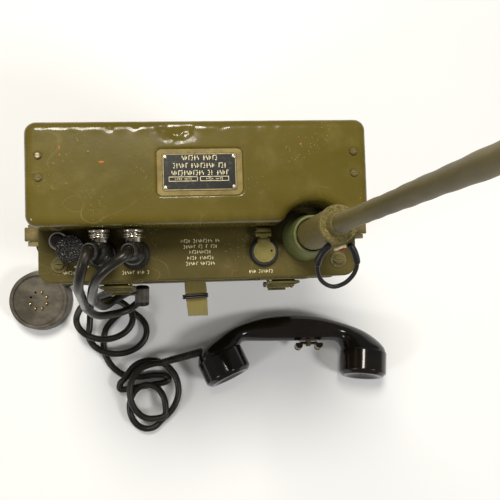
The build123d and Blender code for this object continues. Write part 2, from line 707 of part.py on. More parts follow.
def cap_frame(seat, tilt):
    """Plane on a cap's seat, looking out of its face."""
    angle = radians(tilt)
    return Plane(origin=(seat[0], seat[1], 0), x_dir=(0, 0, 1), z_dir=(sin(angle), -cos(angle), 0))


def handset_shell():
    arc = ThreePointArc((-94, 1), (2, 25), (100, 4))
    grip = sweep(Plane(origin=arc @ 0, x_dir=(0, 0, 1), z_dir=arc % 0) * Ellipse(17, 18.5), path=arc)
    flat_side = Plane(origin=(-66, 19, 0), x_dir=(0, 0, 1), z_dir=(1, 0, 0)) * Ellipse(16.5, 15)
    body = grip + extrude(flat_side, 134)
    for seat, tilt in ((MOUTH_SEAT, MOUTH_TILT), (EAR_SEAT, EAR_TILT)):
        frame = cap_frame(seat, tilt)
        bell = loft([frame * Circle(30.5), frame.offset(-12) * Circle(29), frame.offset(-27) * Circle(18)])
        body += bell
    for seat, tilt in ((MOUTH_SEAT, MOUTH_TILT), (EAR_SEAT, EAR_TILT)):
        frame = cap_frame(seat, tilt)
        body -= extrude(frame * Circle(24), -10) + extrude(frame * Circle(60), 70)
    slot = block((SWITCH_X - 14, SWITCH_X + 14), (-2, 16), (-6, 6))
    return handset_place(body - slot)


def handset_cap(seat, tilt, holes):
    frame = cap_frame(seat, tilt).offset(0.2)
    cap = extrude(frame * Circle(CAP_R), CAP_H)
    top = frame.offset(CAP_H)
    cap += top * Pos(0, 0, CAP_EDGE / 2) * Cone(CAP_R, CAP_R - CAP_EDGE, CAP_EDGE)
    cap -= extrude(frame * Circle(26), CAP_H - 6)
    dish = top * Pos(0, 0, CAP_EDGE + 42) * Sphere(48)
    cap -= dish
    for i in range(holes):
        angle = 2 * pi * i / holes
        spot = top * Pos(9 * cos(angle), 9 * sin(angle), 0) * Cylinder(1.6, 30)
        cap -= spot
    return handset_place(cap)


def handset_capsules():
    pucks = []
    for seat, tilt in ((MOUTH_SEAT, MOUTH_TILT), (EAR_SEAT, EAR_TILT)):
        frame = cap_frame(seat, tilt)
        pucks.append(handset_place(extrude(frame.offset(-7) * Circle(22), 18)))
    return group(pucks)


SWITCH_X = 28.0
PIVOT_Y = 0.5
PIVOT_R = 1.5


def switch_block():
    """Spring block sunk in the grip, with the pivot pin of the talk switch."""
    body = block((SWITCH_X - 13, SWITCH_X + 13), (4.5, 14), (-5.5, 5.5))
    for side in (-1, 1):
        z = sorted((side * 3.6, side * 5.4))
        body += block((SWITCH_X - 3, SWITCH_X + 3), (PIVOT_Y - 3.5, 4.5), z)
    return handset_place(body + rod((SWITCH_X, PIVOT_Y, -5.4), (SWITCH_X, PIVOT_Y, 5.4), PIVOT_R))


def talk_switch():
    """Two-lobed bar that the fingers rock about the pivot pin."""
    bar = block((SWITCH_X - 13, SWITCH_X + 13), (PIVOT_Y - 1.7, PIVOT_Y + 1.7), (-3.4, 3.4))
    below = block((0, 80), (PIVOT_Y - 10, PIVOT_Y - 0.8), (-8, 8))
    for side in (-1, 1):
        x = SWITCH_X + side * 14.5
        bar += rod((x, PIVOT_Y - 3.1, -8), (x, PIVOT_Y - 3.1, 8), 5.2) & below
    return handset_place(bar - rod((SWITCH_X, PIVOT_Y, -9), (SWITCH_X, PIVOT_Y, 9), PIVOT_R + RUN))


# ---- power plug ----
def power_plug():
    body = post(PLUG_AT, 0, PLUG_H, PLUG_R + 3.5, PLUG_R)
    body = fillet(body.edges().group_by(Axis.Z)[-1], 2)
    body -= post(PLUG_AT, PLUG_H - 4, PLUG_H + 1, PLUG_R - 5)
    for x, y in plug_pin_spots(8):
        body -= post((x, y), PLUG_H - 14, PLUG_H, 1.5)
    return body - rod((PLUG_AT[0] + 25, PLUG_AT[1] + 14, 15), (PLUG_AT[0] + 47, PLUG_AT[1] + 26.3, 15), 4.7)


def plug_pin_spots(count):
    circle_r = 12.0
    spots = []
    for i in range(count):
        angle = radians(22.5 + 45 * i)
        spots.append((PLUG_AT[0] + circle_r * cos(angle), PLUG_AT[1] + circle_r * sin(angle)))
    return spots


def power_pins():
    """Six brass pins; two of the eight places stay empty."""
    filled = [spot for i, spot in enumerate(plug_pin_spots(8)) if i not in (2, 3)]
    return group([fillet(post(at, PLUG_H - 13.9, PLUG_H + 1, 1.45).edges().group_by(Axis.Z)[-1], 0.8)
                  for at in filled])


def power_cable():
    x, y = PLUG_AT
    points = [(x + 27, y + 15.1, 15), (x + 35, y + 19.6, 15), (x + 43, y + 24.1, 15.4),
              (-167, -49, 23), (-152, -40, 30), (-134, -40, 30)]
    return cord(points, CORD_R)


# ---- write every node ----
save("battery_box", battery_box())
save("battery_block", battery_block())
save("case_seals", case_seals())
save("radio_case", radio_case())
save("control_panel", control_panel())
save("panel_screws", panel_screws())
save("chassis", chassis())
save("vacuum_tubes", vacuum_tubes())
save("coil_cans", coil_cans())
save("tuning_capacitor", tuning_capacitor())
save("capacitor_rotor", capacitor_rotor())
save("tuning_knob", tuning_knob())
save("volume_control", volume_control())
save("volume_knob", volume_knob())
save("button_bezel", button_bezel())
save("lamp_button", lamp_button())
save("jack_bodies", jack_bodies())
save("jack_boots", jack_boots())
save("aux_hinge", aux_hinge())
save("aux_cover", aux_cover())
save("lid_shell", lid_shell())
save("lid_seal", lid_seal())
save("lid_screws", lid_screws())
save("nameplate", nameplate())
save("nameplate_rivets", nameplate_rivets())
save("case_hinge_leaves", case_hinge_leaves())
save("lid_hinge_leaves", lid_hinge_leaves())
save("lid_hinge_pins", lid_hinge_pins())
save("latch_plates", latch_plates())
save("latch_keepers", latch_keepers())
for word, side in (("left", -1), ("right", 1)):
    save(f"latch_lever_{word}", latch_lever(side * LATCH_X))
    save(f"latch_bail_{word}", latch_bail(side * LATCH_X))
    save(f"bracket_ring_{word}", bracket_ring(side))
save("side_brackets", group([bracket(-1), bracket(1)]))
save("webbing_tab", webbing_tab())
save("tab_keeper", tab_keeper())
save("antenna_cup", antenna_cup())
save("antenna_sleeve", antenna_sleeve())
save("antenna_gooseneck", antenna_gooseneck())
save("antenna_rod", antenna_rod())
save("antenna_whip", antenna_whip())
save("antenna_loop", antenna_loop())
save("plug_bodies", plug_bodies())
save("plug_glands", plug_glands())
save("plug_cords", plug_cords())
save("cord_junction", cord_junction())
save("handset_cord", handset_cord())
save("handset_shell", handset_shell())
save("mouthpiece_cap", handset_cap(MOUTH_SEAT, MOUTH_TILT, 6))
save("earpiece_cap", handset_cap(EAR_SEAT, EAR_TILT, 8))
save("handset_capsules", handset_capsules())
save("switch_block", switch_block())
save("talk_switch", talk_switch())
save("power_plug", power_plug())
save("power_pins", power_pins())
save("power_cable", power_cable())
print(len(NODES), "nodes")
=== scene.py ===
"""Looks for the backpack radio set: procedural finishes, soft pieces, lettering strokes, light and camera."""
import json
import math

import bmesh
import bpy
from mathutils import Matrix, Vector, noise

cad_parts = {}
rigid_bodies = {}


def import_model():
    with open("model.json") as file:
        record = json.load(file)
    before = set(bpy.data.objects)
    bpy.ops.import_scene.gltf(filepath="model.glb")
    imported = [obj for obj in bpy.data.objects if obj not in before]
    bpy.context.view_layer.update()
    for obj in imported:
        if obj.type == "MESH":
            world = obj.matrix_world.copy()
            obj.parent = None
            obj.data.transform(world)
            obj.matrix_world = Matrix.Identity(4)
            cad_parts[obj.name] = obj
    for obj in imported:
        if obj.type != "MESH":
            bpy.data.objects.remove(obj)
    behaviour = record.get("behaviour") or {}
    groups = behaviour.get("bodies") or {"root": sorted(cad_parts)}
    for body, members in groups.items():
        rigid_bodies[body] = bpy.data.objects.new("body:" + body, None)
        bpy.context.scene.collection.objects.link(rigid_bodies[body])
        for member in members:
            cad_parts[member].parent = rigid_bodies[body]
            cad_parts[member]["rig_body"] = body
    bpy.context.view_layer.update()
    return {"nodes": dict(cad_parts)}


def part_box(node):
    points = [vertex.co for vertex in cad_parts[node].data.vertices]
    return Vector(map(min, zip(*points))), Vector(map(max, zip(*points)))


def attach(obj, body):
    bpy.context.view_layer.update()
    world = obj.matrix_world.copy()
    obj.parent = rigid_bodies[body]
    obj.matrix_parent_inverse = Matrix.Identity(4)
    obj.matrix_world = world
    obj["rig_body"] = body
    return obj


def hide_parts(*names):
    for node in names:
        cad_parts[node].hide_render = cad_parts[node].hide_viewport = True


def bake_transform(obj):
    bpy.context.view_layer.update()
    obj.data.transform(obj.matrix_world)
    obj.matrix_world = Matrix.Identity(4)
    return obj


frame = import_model()
nodes = frame["nodes"]
MM = 0.001


# ---------------------------------------------------------------- node graph helper
class Graph:
    """A material's node tree, with short calls for the nodes that the finishes share."""

    def __init__(self, name):
        self.material = bpy.data.materials.new(name)
        self.material.use_nodes = True
        self.tree = self.material.node_tree
        self.tree.nodes.clear()
        self.out = self.add("ShaderNodeOutputMaterial")
        self.bsdf = self.add("ShaderNodeBsdfPrincipled")
        self.link(self.bsdf.outputs[0], self.out.inputs[0])
        self.point = self.add("ShaderNodeTexCoord").outputs["Object"]

    def add(self, kind, **settings):
        node = self.tree.nodes.new(kind)
        for key, value in settings.items():
            setattr(node, key, value)
        return node

    def link(self, source, target):
        self.tree.links.new(source, target)

    def put(self, target, value):
        """Feeds an input with a socket or a plain value."""
        if hasattr(value, "is_output"):
            self.link(value, target)
        elif isinstance(value, (tuple, list)) and len(value) == 3 and target.type == "RGBA":
            target.default_value = (*value, 1)
        else:
            target.default_value = value

    def stretched(self, scale, turn=(0, 0, 0)):
        node = self.add("ShaderNodeMapping")
        self.link(self.point, node.inputs["Vector"])
        node.inputs["Scale"].default_value = scale
        node.inputs["Rotation"].default_value = [math.radians(a) for a in turn]
        return node.outputs[0]

    def noise(self, scale, detail=3.0, rough=0.5, vector=None):
        node = self.add("ShaderNodeTexNoise")
        self.link(vector or self.point, node.inputs["Vector"])
        node.inputs["Scale"].default_value = scale
        node.inputs["Detail"].default_value = detail
        node.inputs["Roughness"].default_value = rough
        return node.outputs["Fac"]

    def voronoi(self, scale, feature="F1", vector=None, output="Distance", randomness=1.0):
        node = self.add("ShaderNodeTexVoronoi", feature=feature)
        self.link(vector or self.point, node.inputs["Vector"])
        node.inputs["Scale"].default_value = scale
        node.inputs["Randomness"].default_value = randomness
        return node.outputs[output]

    def wave(self, scale, direction="X", vector=None, distortion=0.0):
        node = self.add("ShaderNodeTexWave", bands_direction=direction)
        self.link(vector or self.point, node.inputs["Vector"])
        node.inputs["Scale"].default_value = scale
        node.inputs["Distortion"].default_value = distortion
        return node.outputs["Fac"]

    def math(self, operation, a, b=0.0, clamp=False):
        node = self.add("ShaderNodeMath", operation=operation, use_clamp=clamp)
        self.put(node.inputs[0], a)
        self.put(node.inputs[1], b)
        return node.outputs[0]

    def ramp(self, value, low, high, out_low=0.0, out_high=1.0):
        """Smooth step of value from low to high."""
        node = self.add("ShaderNodeMapRange", interpolation_type="SMOOTHSTEP")
        self.put(node.inputs["Value"], value)
        for name, number in (("From Min", low), ("From Max", high),
                             ("To Min", out_low), ("To Max", out_high)):
            node.inputs[name].default_value = number
        return node.outputs[0]

    def mix(self, share, a, b):
        node = self.add("ShaderNodeMix", data_type="RGBA")
        self.put(node.inputs[0], share)
        self.put(node.inputs[6], a)
        self.put(node.inputs[7], b)
        return node.outputs[2]

    def bump(self, height, distance, strength=1.0, below=None):
        node = self.add("ShaderNodeBump")
        self.put(node.inputs["Height"], height)
        node.inputs["Distance"].default_value = distance
        node.inputs["Strength"].default_value = strength
        if below is not None:
            self.link(below, node.inputs["Normal"])
        return node.outputs[0]

    def edges(self, radius):
        """0 on flat faces, rising towards 1 on edges and corners."""
        round_normal = self.add("ShaderNodeBevel", samples=4)
        round_normal.inputs["Radius"].default_value = radius
        flat = self.add("ShaderNodeNewGeometry")
        dot = self.add("ShaderNodeVectorMath", operation="DOT_PRODUCT")
        self.link(round_normal.outputs[0], dot.inputs[0])
        self.link(flat.outputs["Normal"], dot.inputs[1])
        return self.ramp(dot.outputs["Value"], 0.985, 0.8)

    def painted_crevice_shade(self, distance):
        # Painted shade: near 1 in creases, hollows and gaps between parts, from ambient occlusion; callers
        # darken colour with it.
        node = self.add("ShaderNodeAmbientOcclusion", samples=6)
        node.inputs["Distance"].default_value = distance
        return self.ramp(node.outputs["AO"], 0.85, 0.25)

    def patch(self, spot, size, soft=0.6):
        """1 inside an ellipsoid of these half sizes round a place in the row frame, 0 outside it."""
        shift = self.add("ShaderNodeVectorMath", operation="SUBTRACT")
        self.link(self.point, shift.inputs[0])
        shift.inputs[1].default_value = spot
        scale = self.add("ShaderNodeVectorMath", operation="DIVIDE")
        self.link(shift.outputs[0], scale.inputs[0])
        scale.inputs[1].default_value = size
        length = self.add("ShaderNodeVectorMath", operation="LENGTH")
        self.link(scale.outputs[0], length.inputs[0])
        return self.ramp(length.outputs["Value"], 1.0, soft)

    def contour(self, scale, turn, level, width):
        """Long thin curved lines: where a smooth field crosses a level."""
        field = self.noise(scale, 1.5, 0.45, self.stretched((1, 1.7, 1), (0, 0, turn)))
        away = self.math("ABSOLUTE", self.math("SUBTRACT", field, level))
        return self.ramp(away, width, width * 0.3)

    def finish(self, color, roughness, normal=None, metallic=0.0, coat=0.0, coat_rough=0.1, sheen=0.0,
               gleam=0.22):
        self.put(self.bsdf.inputs["Base Color"], color)
        self.put(self.bsdf.inputs["Roughness"], roughness)
        self.put(self.bsdf.inputs["Metallic"], metallic)
        self.put(self.bsdf.inputs["Coat Weight"], coat)
        self.put(self.bsdf.inputs["Coat Roughness"], coat_rough)
        self.put(self.bsdf.inputs["Sheen Weight"], sheen)
        self.put(self.bsdf.inputs["Specular IOR Level"], gleam)
        if normal is not None:
            self.link(normal, self.bsdf.inputs["Normal"])
        return self.material


# ---------------------------------------------------------------- finishes
PRIMER = (0.55, 0.16, 0.035)
CREAM = (0.62, 0.54, 0.34)


def enamel(name, base, dark, light, gloss, shine, cloudy, chips=()):
    """Olive drab enamel over steel: orange peel, cloudy tone, long scratches, pale flecks, painted shade in
    creases, and worn edges that also carry a painted rim highlight.
    """
    g = Graph(name)
    cloud = g.noise(7, 4)
    colour = g.mix(g.ramp(cloud, 0.3, 0.7), dark, base)
    colour = g.mix(g.ramp(g.noise(38, 5, 0.6), 0.45, 0.8, 0, cloudy), colour, light)
    # Painted shade: colour darkened in creases and where the enamel meets other parts.
    painted_shade = g.painted_crevice_shade(0.014)
    colour = g.mix(g.math("MULTIPLY", painted_shade, 0.75), colour, tuple(c * 0.22 for c in dark))
    marks = g.contour(8, 20, 0.52, 0.0022)
    for scale, turn, level, width in ((13, 65, 0.47, 0.003), (6, -35, 0.55, 0.0016), (19, 110, 0.6, 0.004)):
        marks = g.math("MAXIMUM", marks, g.contour(scale, turn, level, width))
    marks = g.math("MULTIPLY", marks, g.ramp(g.noise(14, 3), 0.5, 0.66))
    colour = g.mix(g.math("MULTIPLY", marks, 0.55), colour, light)
    fleck_area = g.ramp(g.noise(30, 2), 0.5, 0.68)
    flecks = g.math("MULTIPLY", g.ramp(g.voronoi(420), 0.16, 0.08), fleck_area)
    colour = g.mix(g.math("MULTIPLY", flecks, 0.6), colour, CREAM)
    # Worn edges, lightened both by wear and as a painted rim highlight.
    wear = g.math("MULTIPLY", g.edges(0.0016), g.ramp(g.noise(120, 4, 0.7), 0.42, 0.62))
    colour = g.mix(g.math("MULTIPLY", wear, 0.4), colour, tuple(min(1, c * 1.9) for c in light))
    for spot, size in chips:
        torn = g.math("MULTIPLY", g.patch(spot, size, 0.2), g.ramp(g.noise(1400, 3), 0.3, 0.45))
        colour = g.mix(torn, colour, PRIMER)
    peel = g.bump(g.noise(520, 2, 0.4), 0.00012, 0.35)
    dings = g.bump(g.ramp(g.voronoi(70), 0.12, 0.0), 0.0004, 0.35, peel)
    waves = g.bump(g.noise(18, 2), 0.0012, 0.35, dings)
    rough = g.math("ADD", gloss, g.math("MULTIPLY", g.noise(24, 4), 0.22))
    rough = g.math("ADD", rough, g.math("MULTIPLY", marks, 0.2))
    coat = g.ramp(g.noise(85, 5, 0.7), 0.38, 0.6, shine * 0.15, shine)
    return g.finish(colour, rough, waves, coat=coat, coat_rough=gloss * 0.4, gleam=0.12)


OLIVE = (0.122, 0.092, 0.013)
OLIVE_DARK = (0.090, 0.070, 0.009)
OLIVE_LIGHT = (0.215, 0.168, 0.050)
TAN = (0.26, 0.20, 0.085)


def flat_paint(name, base, dark, light, bare=()):
    """Thin worn paint on small fittings, rubbed to bright metal on the edges and off the bare places."""
    g = Graph(name)
    colour = g.mix(g.ramp(g.noise(60, 5, 0.6), 0.35, 0.65), dark, base)
    # Painted shade: colour darkened in creases and where the fitting meets other parts.
    colour = g.mix(g.math("MULTIPLY", g.painted_crevice_shade(0.004), 0.8), colour, tuple(c * 0.2 for c in dark))
    wear = g.math("MULTIPLY", g.edges(0.0009), g.ramp(g.noise(500, 4, 0.7), 0.35, 0.6))
    colour = g.mix(wear, colour, light)
    for spot, size in bare:
        colour = g.mix(g.patch(spot, size), colour, (0.62, 0.45, 0.26))
    normal = g.bump(g.noise(900, 3), 0.0001, 0.5)
    return g.finish(colour, g.math("ADD", 0.4, g.math("MULTIPLY", g.noise(80), 0.3)), normal)


def rubber(name, base, light, rough=0.42, grain=700):
    g = Graph(name)
    dust = g.ramp(g.noise(55, 5, 0.65), 0.42, 0.75)
    colour = g.mix(dust, base, light)
    specks = g.math("MULTIPLY", g.ramp(g.voronoi(260), 0.12, 0.05), 0.35)
    colour = g.mix(specks, colour, tuple(c * 2.5 for c in light))
    normal = g.bump(g.noise(grain, 4, 0.6), 0.00012, 0.6)
    return g.finish(colour, g.math("ADD", rough, g.math("MULTIPLY", dust, 0.25)), normal, gleam=0.35)


def banded_rubber():
    """The cord junction: rubbed grey body between two black ends."""
    g = Graph("banded_rubber")
    low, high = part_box("cord_junction")
    middle = (low + high) / 2
    body = g.patch(middle, (0.03, 0.0085, 0.03), 0.92)
    grey = g.mix(g.ramp(g.noise(90, 5, 0.65), 0.4, 0.7), (0.075, 0.068, 0.052), (0.125, 0.112, 0.086))
    colour = g.mix(body, (0.016, 0.014, 0.012), grey)
    return g.finish(colour, 0.45, g.bump(g.noise(700, 3), 0.0001, 0.5))


def bakelite():
    """Polished black-brown moulding with faint swirl, fine wear and rubbed brown edges."""
    g = Graph("bakelite")
    swirl = g.noise(9, 5, 0.6, g.stretched((1, 2.4, 1), (0, 0, 25)))
    colour = g.mix(g.ramp(swirl, 0.4, 0.75), (0.004, 0.0035, 0.003), (0.014, 0.008, 0.004))
    colour = g.mix(g.math("MULTIPLY", g.edges(0.0018), 0.4), colour, (0.05, 0.025, 0.01))
    hair = g.ramp(g.noise(1, 2, 0.5, g.stretched((900, 22, 900), (0, 0, 40))), 0.66, 0.72)
    rough = g.math("ADD", 0.1, g.math("MULTIPLY", g.noise(45, 4), 0.14))
    rough = g.math("ADD", rough, g.math("MULTIPLY", hair, 0.2))
    normal = g.bump(g.noise(40, 2), 0.0003, 0.12)
    return g.finish(colour, rough, normal, coat=0.35, coat_rough=0.04, gleam=0.2)


def crackle():
    """Crinkled black knob finish with bright rubbed tips."""
    g = Graph("crackle_black")
    cells = g.voronoi(520)
    fine = g.noise(1100, 4, 0.7)
    tips = g.math("MULTIPLY", g.ramp(fine, 0.60, 0.66), g.ramp(g.noise(260), 0.5, 0.6))
    colour = g.mix(tips, (0.007, 0.006, 0.005), (0.42, 0.36, 0.20))
    height = g.math("ADD", cells, g.math("MULTIPLY", fine, 0.8))
    return g.finish(colour, 0.3, g.bump(height, 0.0009, 0.9), coat=0.2)


def worn_metal(name, base, dark, rough, tarnish):
    g = Graph(name)
    spots = g.ramp(g.noise(120, 5, 0.7), 0.45, 0.7)
    colour = g.mix(g.math("MULTIPLY", spots, tarnish), base, dark)
    # Painted shade: colour darkened in creases and hollows of the metal parts.
    colour = g.mix(g.math("MULTIPLY", g.painted_crevice_shade(0.003), 0.85), colour, tuple(c * 0.15 for c in dark))
    brush = g.noise(1, 3, 0.5, g.stretched((60, 60, 2200)))
    normal = g.bump(brush, 0.00006, 0.5)
    roughness = g.math("ADD", rough, g.math("MULTIPLY", spots, 0.25))
    metallic = g.math("SUBTRACT", 1.0, g.math("MULTIPLY", spots, 0.3))
    return g.finish(colour, roughness, normal, metallic=metallic)


def webbing_cloth():
    """Herringbone cotton webbing: a woven pattern with a cloudy tone."""
    g = Graph("webbing_cloth")
    warp = g.wave(260, "X")
    weft = g.wave(330, "Y")
    weave = g.math("MULTIPLY", warp, weft)
    colour = g.mix(weave, (0.19, 0.150, 0.034), (0.40, 0.325, 0.105))
    colour = g.mix(g.ramp(g.noise(70, 5, 0.6), 0.4, 0.75, 0, 0.4), colour, (0.22, 0.175, 0.05))
    normal = g.bump(weave, 0.0005, 0.9)
    return g.finish(colour, 0.85, normal, sheen=0.3)


def textured_sleeve():
    """Cast wrinkle finish on the antenna's sleeve: brown-olive, with bright specks painted in its pits as
    sparkle.
    """
    g = Graph("sleeve_texture")
    grain = g.noise(900, 5, 0.8)
    colour = g.mix(g.ramp(grain, 0.4, 0.6), (0.075, 0.058, 0.013), (0.215, 0.170, 0.050))
    # Painted glints: small bright specks in the colour stand in for sparkle.
    colour = g.mix(g.ramp(g.noise(1300, 3), 0.6, 0.7), colour, (0.46, 0.40, 0.19))
    wear = g.math("MULTIPLY", g.edges(0.0018), g.ramp(g.noise(300, 4, 0.7), 0.35, 0.6))
    colour = g.mix(wear, colour, (0.36, 0.31, 0.16))
    return g.finish(colour, 0.45, g.bump(grain, 0.0007, 1.0))


def sheath_cloth():
    """Fine cloth sheath of the antenna rod, varnished and rubbed."""
    g = Graph("sheath_cloth")
    rubbed = g.noise(1, 4, 0.6, g.stretched((60, 60, 11)))
    colour = g.mix(g.ramp(rubbed, 0.35, 0.7), (0.080, 0.062, 0.015), (0.135, 0.104, 0.028))
    threads = g.noise(2600, 2, 0.5)
    colour = g.mix(g.ramp(threads, 0.5, 0.75, 0, 0.3), colour, (0.19, 0.155, 0.06))
    normal = g.bump(threads, 0.00015, 0.6)
    return g.finish(colour, 0.5, g.bump(g.noise(300, 3), 0.0002, 0.4, normal), gleam=0.35)


def green_insulator():
    """Grey-green moulded cup, darkened low down by painted shade, rubbed to cream at its rim."""
    g = Graph("green_insulator")
    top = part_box("antenna_cup")[1].z
    height = g.add("ShaderNodeSeparateXYZ")
    g.link(g.point, height.inputs[0])
    colour = g.mix(g.ramp(g.noise(45, 5, 0.6), 0.35, 0.7), (0.105, 0.118, 0.038), (0.165, 0.180, 0.066))
    rim = g.ramp(height.outputs["Z"], top - 0.0030, top - 0.0018)
    rim = g.math("MULTIPLY", rim, g.edges(0.0012))
    colour = g.mix(rim, colour, (0.46, 0.46, 0.24))
    # Painted shade: colour darkened where the cup meets other parts.
    colour = g.mix(g.math("MULTIPLY", g.painted_crevice_shade(0.005), 0.7), colour, (0.014, 0.015, 0.008))
    return g.finish(colour, 0.4, g.bump(g.noise(300, 3), 0.0002, 0.4))


def phenolic():
    """Grey-brown moulded plug with fingerprints, rubbed dust, and painted shade darkening its rim and
    hollows.
    """
    g = Graph("grey_phenolic")
    smear = g.noise(26, 6, 0.65, g.stretched((1, 1.8, 1), (0, 0, 35)))
    colour = g.mix(g.ramp(smear, 0.35, 0.7), (0.060, 0.050, 0.034), (0.150, 0.132, 0.096))
    # Painted shade: colour darkened in hollows and round the rim.
    colour = g.mix(g.math("MULTIPLY", g.painted_crevice_shade(0.005), 0.7), colour, (0.02, 0.017, 0.012))
    colour = g.mix(g.math("MULTIPLY", g.edges(0.0015), 0.4), colour, (0.24, 0.2, 0.13))
    return g.finish(colour, 0.45, g.bump(g.noise(500, 4), 0.0002, 0.4))


def ink(name, base):
    g = Graph(name)
    colour = g.mix(g.ramp(g.noise(300, 4), 0.4, 0.75), base, tuple(c * 0.5 for c in base))
    return g.finish(colour, 0.6, g.bump(g.noise(900), 0.0001, 0.4))


def black_enamel():
    g = Graph("black_enamel")
    colour = g.mix(g.ramp(g.noise(240, 5, 0.6), 0.5, 0.75), (0.012, 0.012, 0.010), (0.05, 0.045, 0.03))
    colour = g.mix(g.math("MULTIPLY", g.edges(0.0008), 0.8), colour, (0.36, 0.3, 0.14))
    return g.finish(colour, 0.35, g.bump(g.noise(700, 3), 0.0001, 0.5))


def old_glass():
    g = Graph("tube_glass")
    colour = g.mix(g.ramp(g.noise(80), 0.4, 0.7), (0.75, 0.78, 0.76), (0.5, 0.52, 0.5))
    g.bsdf.inputs["Transmission Weight"].default_value = 0.6
    return g.finish(colour, 0.12)


def card():
    g = Graph("waxed_card")
    colour = g.mix(g.noise(180, 5), (0.22, 0.15, 0.07), (0.36, 0.26, 0.14))
    return g.finish(colour, 0.7, g.bump(g.noise(600, 4), 0.0002, 0.5))


# ---------------------------------------------------------------- finishes on the CAD nodes
lid_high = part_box("lid_shell")[1]
chip_spots = [((-0.0815, 0.0324, lid_high.z), (0.0034, 0.0012, 0.002)),
              ((-0.1157, 0.0450, lid_high.z), (0.0008, 0.0020, 0.002)),
              ((-0.1157, 0.0390, lid_high.z), (0.0007, 0.0010, 0.002)),
              ((0.0877, 0.0458, lid_high.z), (0.0012, 0.0009, 0.002))]
lid_paint = enamel("lid_enamel", OLIVE, OLIVE_DARK, OLIVE_LIGHT, 0.16, 0.6, 0.35, chip_spots)
case_paint = enamel("case_enamel", (0.108, 0.087, 0.016), (0.082, 0.066, 0.012), OLIVE_LIGHT, 0.34, 0.3, 0.14)
panel_paint = enamel("panel_enamel", (0.092, 0.072, 0.017), (0.070, 0.054, 0.013), (0.17, 0.135, 0.045),
                     0.4, 0.05, 0.3)
fitting_paint = flat_paint("fitting_paint", (0.13, 0.105, 0.026), (0.075, 0.062, 0.016), (0.36, 0.30, 0.14))
worn_screw = ((-0.1335, 0.0385, lid_high.z + 0.002), (0.0022, 0.0024, 0.002))
screw_paint = flat_paint("screw_paint", (0.12, 0.095, 0.02), (0.07, 0.055, 0.012), (0.42, 0.36, 0.18),
                         [worn_screw])
flap_paint = flat_paint("flap_paint", (0.205, 0.170, 0.045), (0.14, 0.115, 0.03), (0.42, 0.36, 0.16))
tan_paint = flat_paint("tan_paint", TAN, (0.16, 0.125, 0.05), (0.42, 0.35, 0.18))
black_rubber = rubber("black_rubber", (0.009, 0.008, 0.007), (0.022, 0.020, 0.016), 0.34)
boot_rubber = rubber("boot_rubber", (0.016, 0.015, 0.012), (0.034, 0.032, 0.024), 0.45)
cord_rubber = rubber("cord_rubber", (0.010, 0.008, 0.0045), (0.024, 0.019, 0.011), 0.3, 300)
plug_rubber = rubber("plug_rubber", (0.010, 0.009, 0.007), (0.040, 0.036, 0.028), 0.26, 500)
blackened = flat_paint("blackened_steel", (0.016, 0.015, 0.013), (0.008, 0.008, 0.007), (0.16, 0.14, 0.1))
moulding = bakelite()
knob_finish = crackle()
nickel = worn_metal("worn_nickel", (0.62, 0.56, 0.46), (0.20, 0.16, 0.10), 0.2, 0.6)
aluminium = worn_metal("plain_aluminium", (0.6, 0.6, 0.58), (0.35, 0.34, 0.32), 0.35, 0.4)
junction_finish = banded_rubber()
brass = worn_metal("bare_brass", (0.80, 0.55, 0.22), (0.35, 0.20, 0.07), 0.25, 0.4)
dull_brass = worn_metal("dull_brass", (0.16, 0.11, 0.06), (0.03, 0.022, 0.014), 0.4, 0.8)
insulator = green_insulator()
sleeve_finish = textured_sleeve()
sheath_finish = sheath_cloth()
plug_moulding = phenolic()
plate_black = black_enamel()
glass = old_glass()
waxed_card = card()
cloth = webbing_cloth()
cream_ink = ink("cream_ink", (0.90, 0.80, 0.50))
gold_ink = ink("gold_ink", (0.42, 0.34, 0.14))
red_ink = ink("red_ink", (0.42, 0.045, 0.03))

FINISHES = [
    (lid_paint, ["lid_shell"]),
    (case_paint, ["battery_box", "radio_case"]),
    (panel_paint, ["control_panel"]),
    (fitting_paint, ["panel_screws", "case_hinge_leaves", "lid_hinge_leaves", "latch_plates",
                     "latch_keepers", "latch_lever_left", "latch_lever_right", "latch_bail_left",
                     "latch_bail_right"]),
    (screw_paint, ["lid_screws"]),
    (flap_paint, ["aux_cover", "aux_hinge"]),
    (tan_paint, ["side_brackets"]),
    (black_rubber, ["case_seals", "lid_seal", "lamp_button"]),
    (boot_rubber, ["jack_boots"]),
    (cord_rubber, ["plug_cords", "handset_cord", "power_cable", "antenna_loop"]),
    (junction_finish, ["cord_junction"]),
    (blackened, ["tab_keeper", "bracket_ring_left", "bracket_ring_right", "antenna_whip"]),
    (plug_rubber, ["plug_bodies"]),
    (moulding, ["handset_shell", "mouthpiece_cap", "earpiece_cap", "talk_switch"]),
    (knob_finish, ["volume_knob", "tuning_knob"]),
    (nickel, ["button_bezel", "jack_bodies", "plug_glands", "lid_hinge_pins", "nameplate_rivets"]),
    (aluminium, ["chassis", "coil_cans", "tuning_capacitor", "capacitor_rotor", "volume_control",
                 "handset_capsules"]),
    (brass, ["power_pins"]),
    (dull_brass, ["switch_block"]),
    (insulator, ["antenna_cup"]),
    (sleeve_finish, ["antenna_sleeve"]),
    (sheath_finish, ["antenna_gooseneck", "antenna_rod"]),
    (plug_moulding, ["power_plug"]),
    (plate_black, ["nameplate"]),
    (glass, ["vacuum_tubes"]),
    (waxed_card, ["battery_block"]),
    (cloth, ["webbing_tab"]),
]
for material, names in FINISHES:
    for name in names:
        nodes[name].data.materials.clear()
        nodes[name].data.materials.append(material)


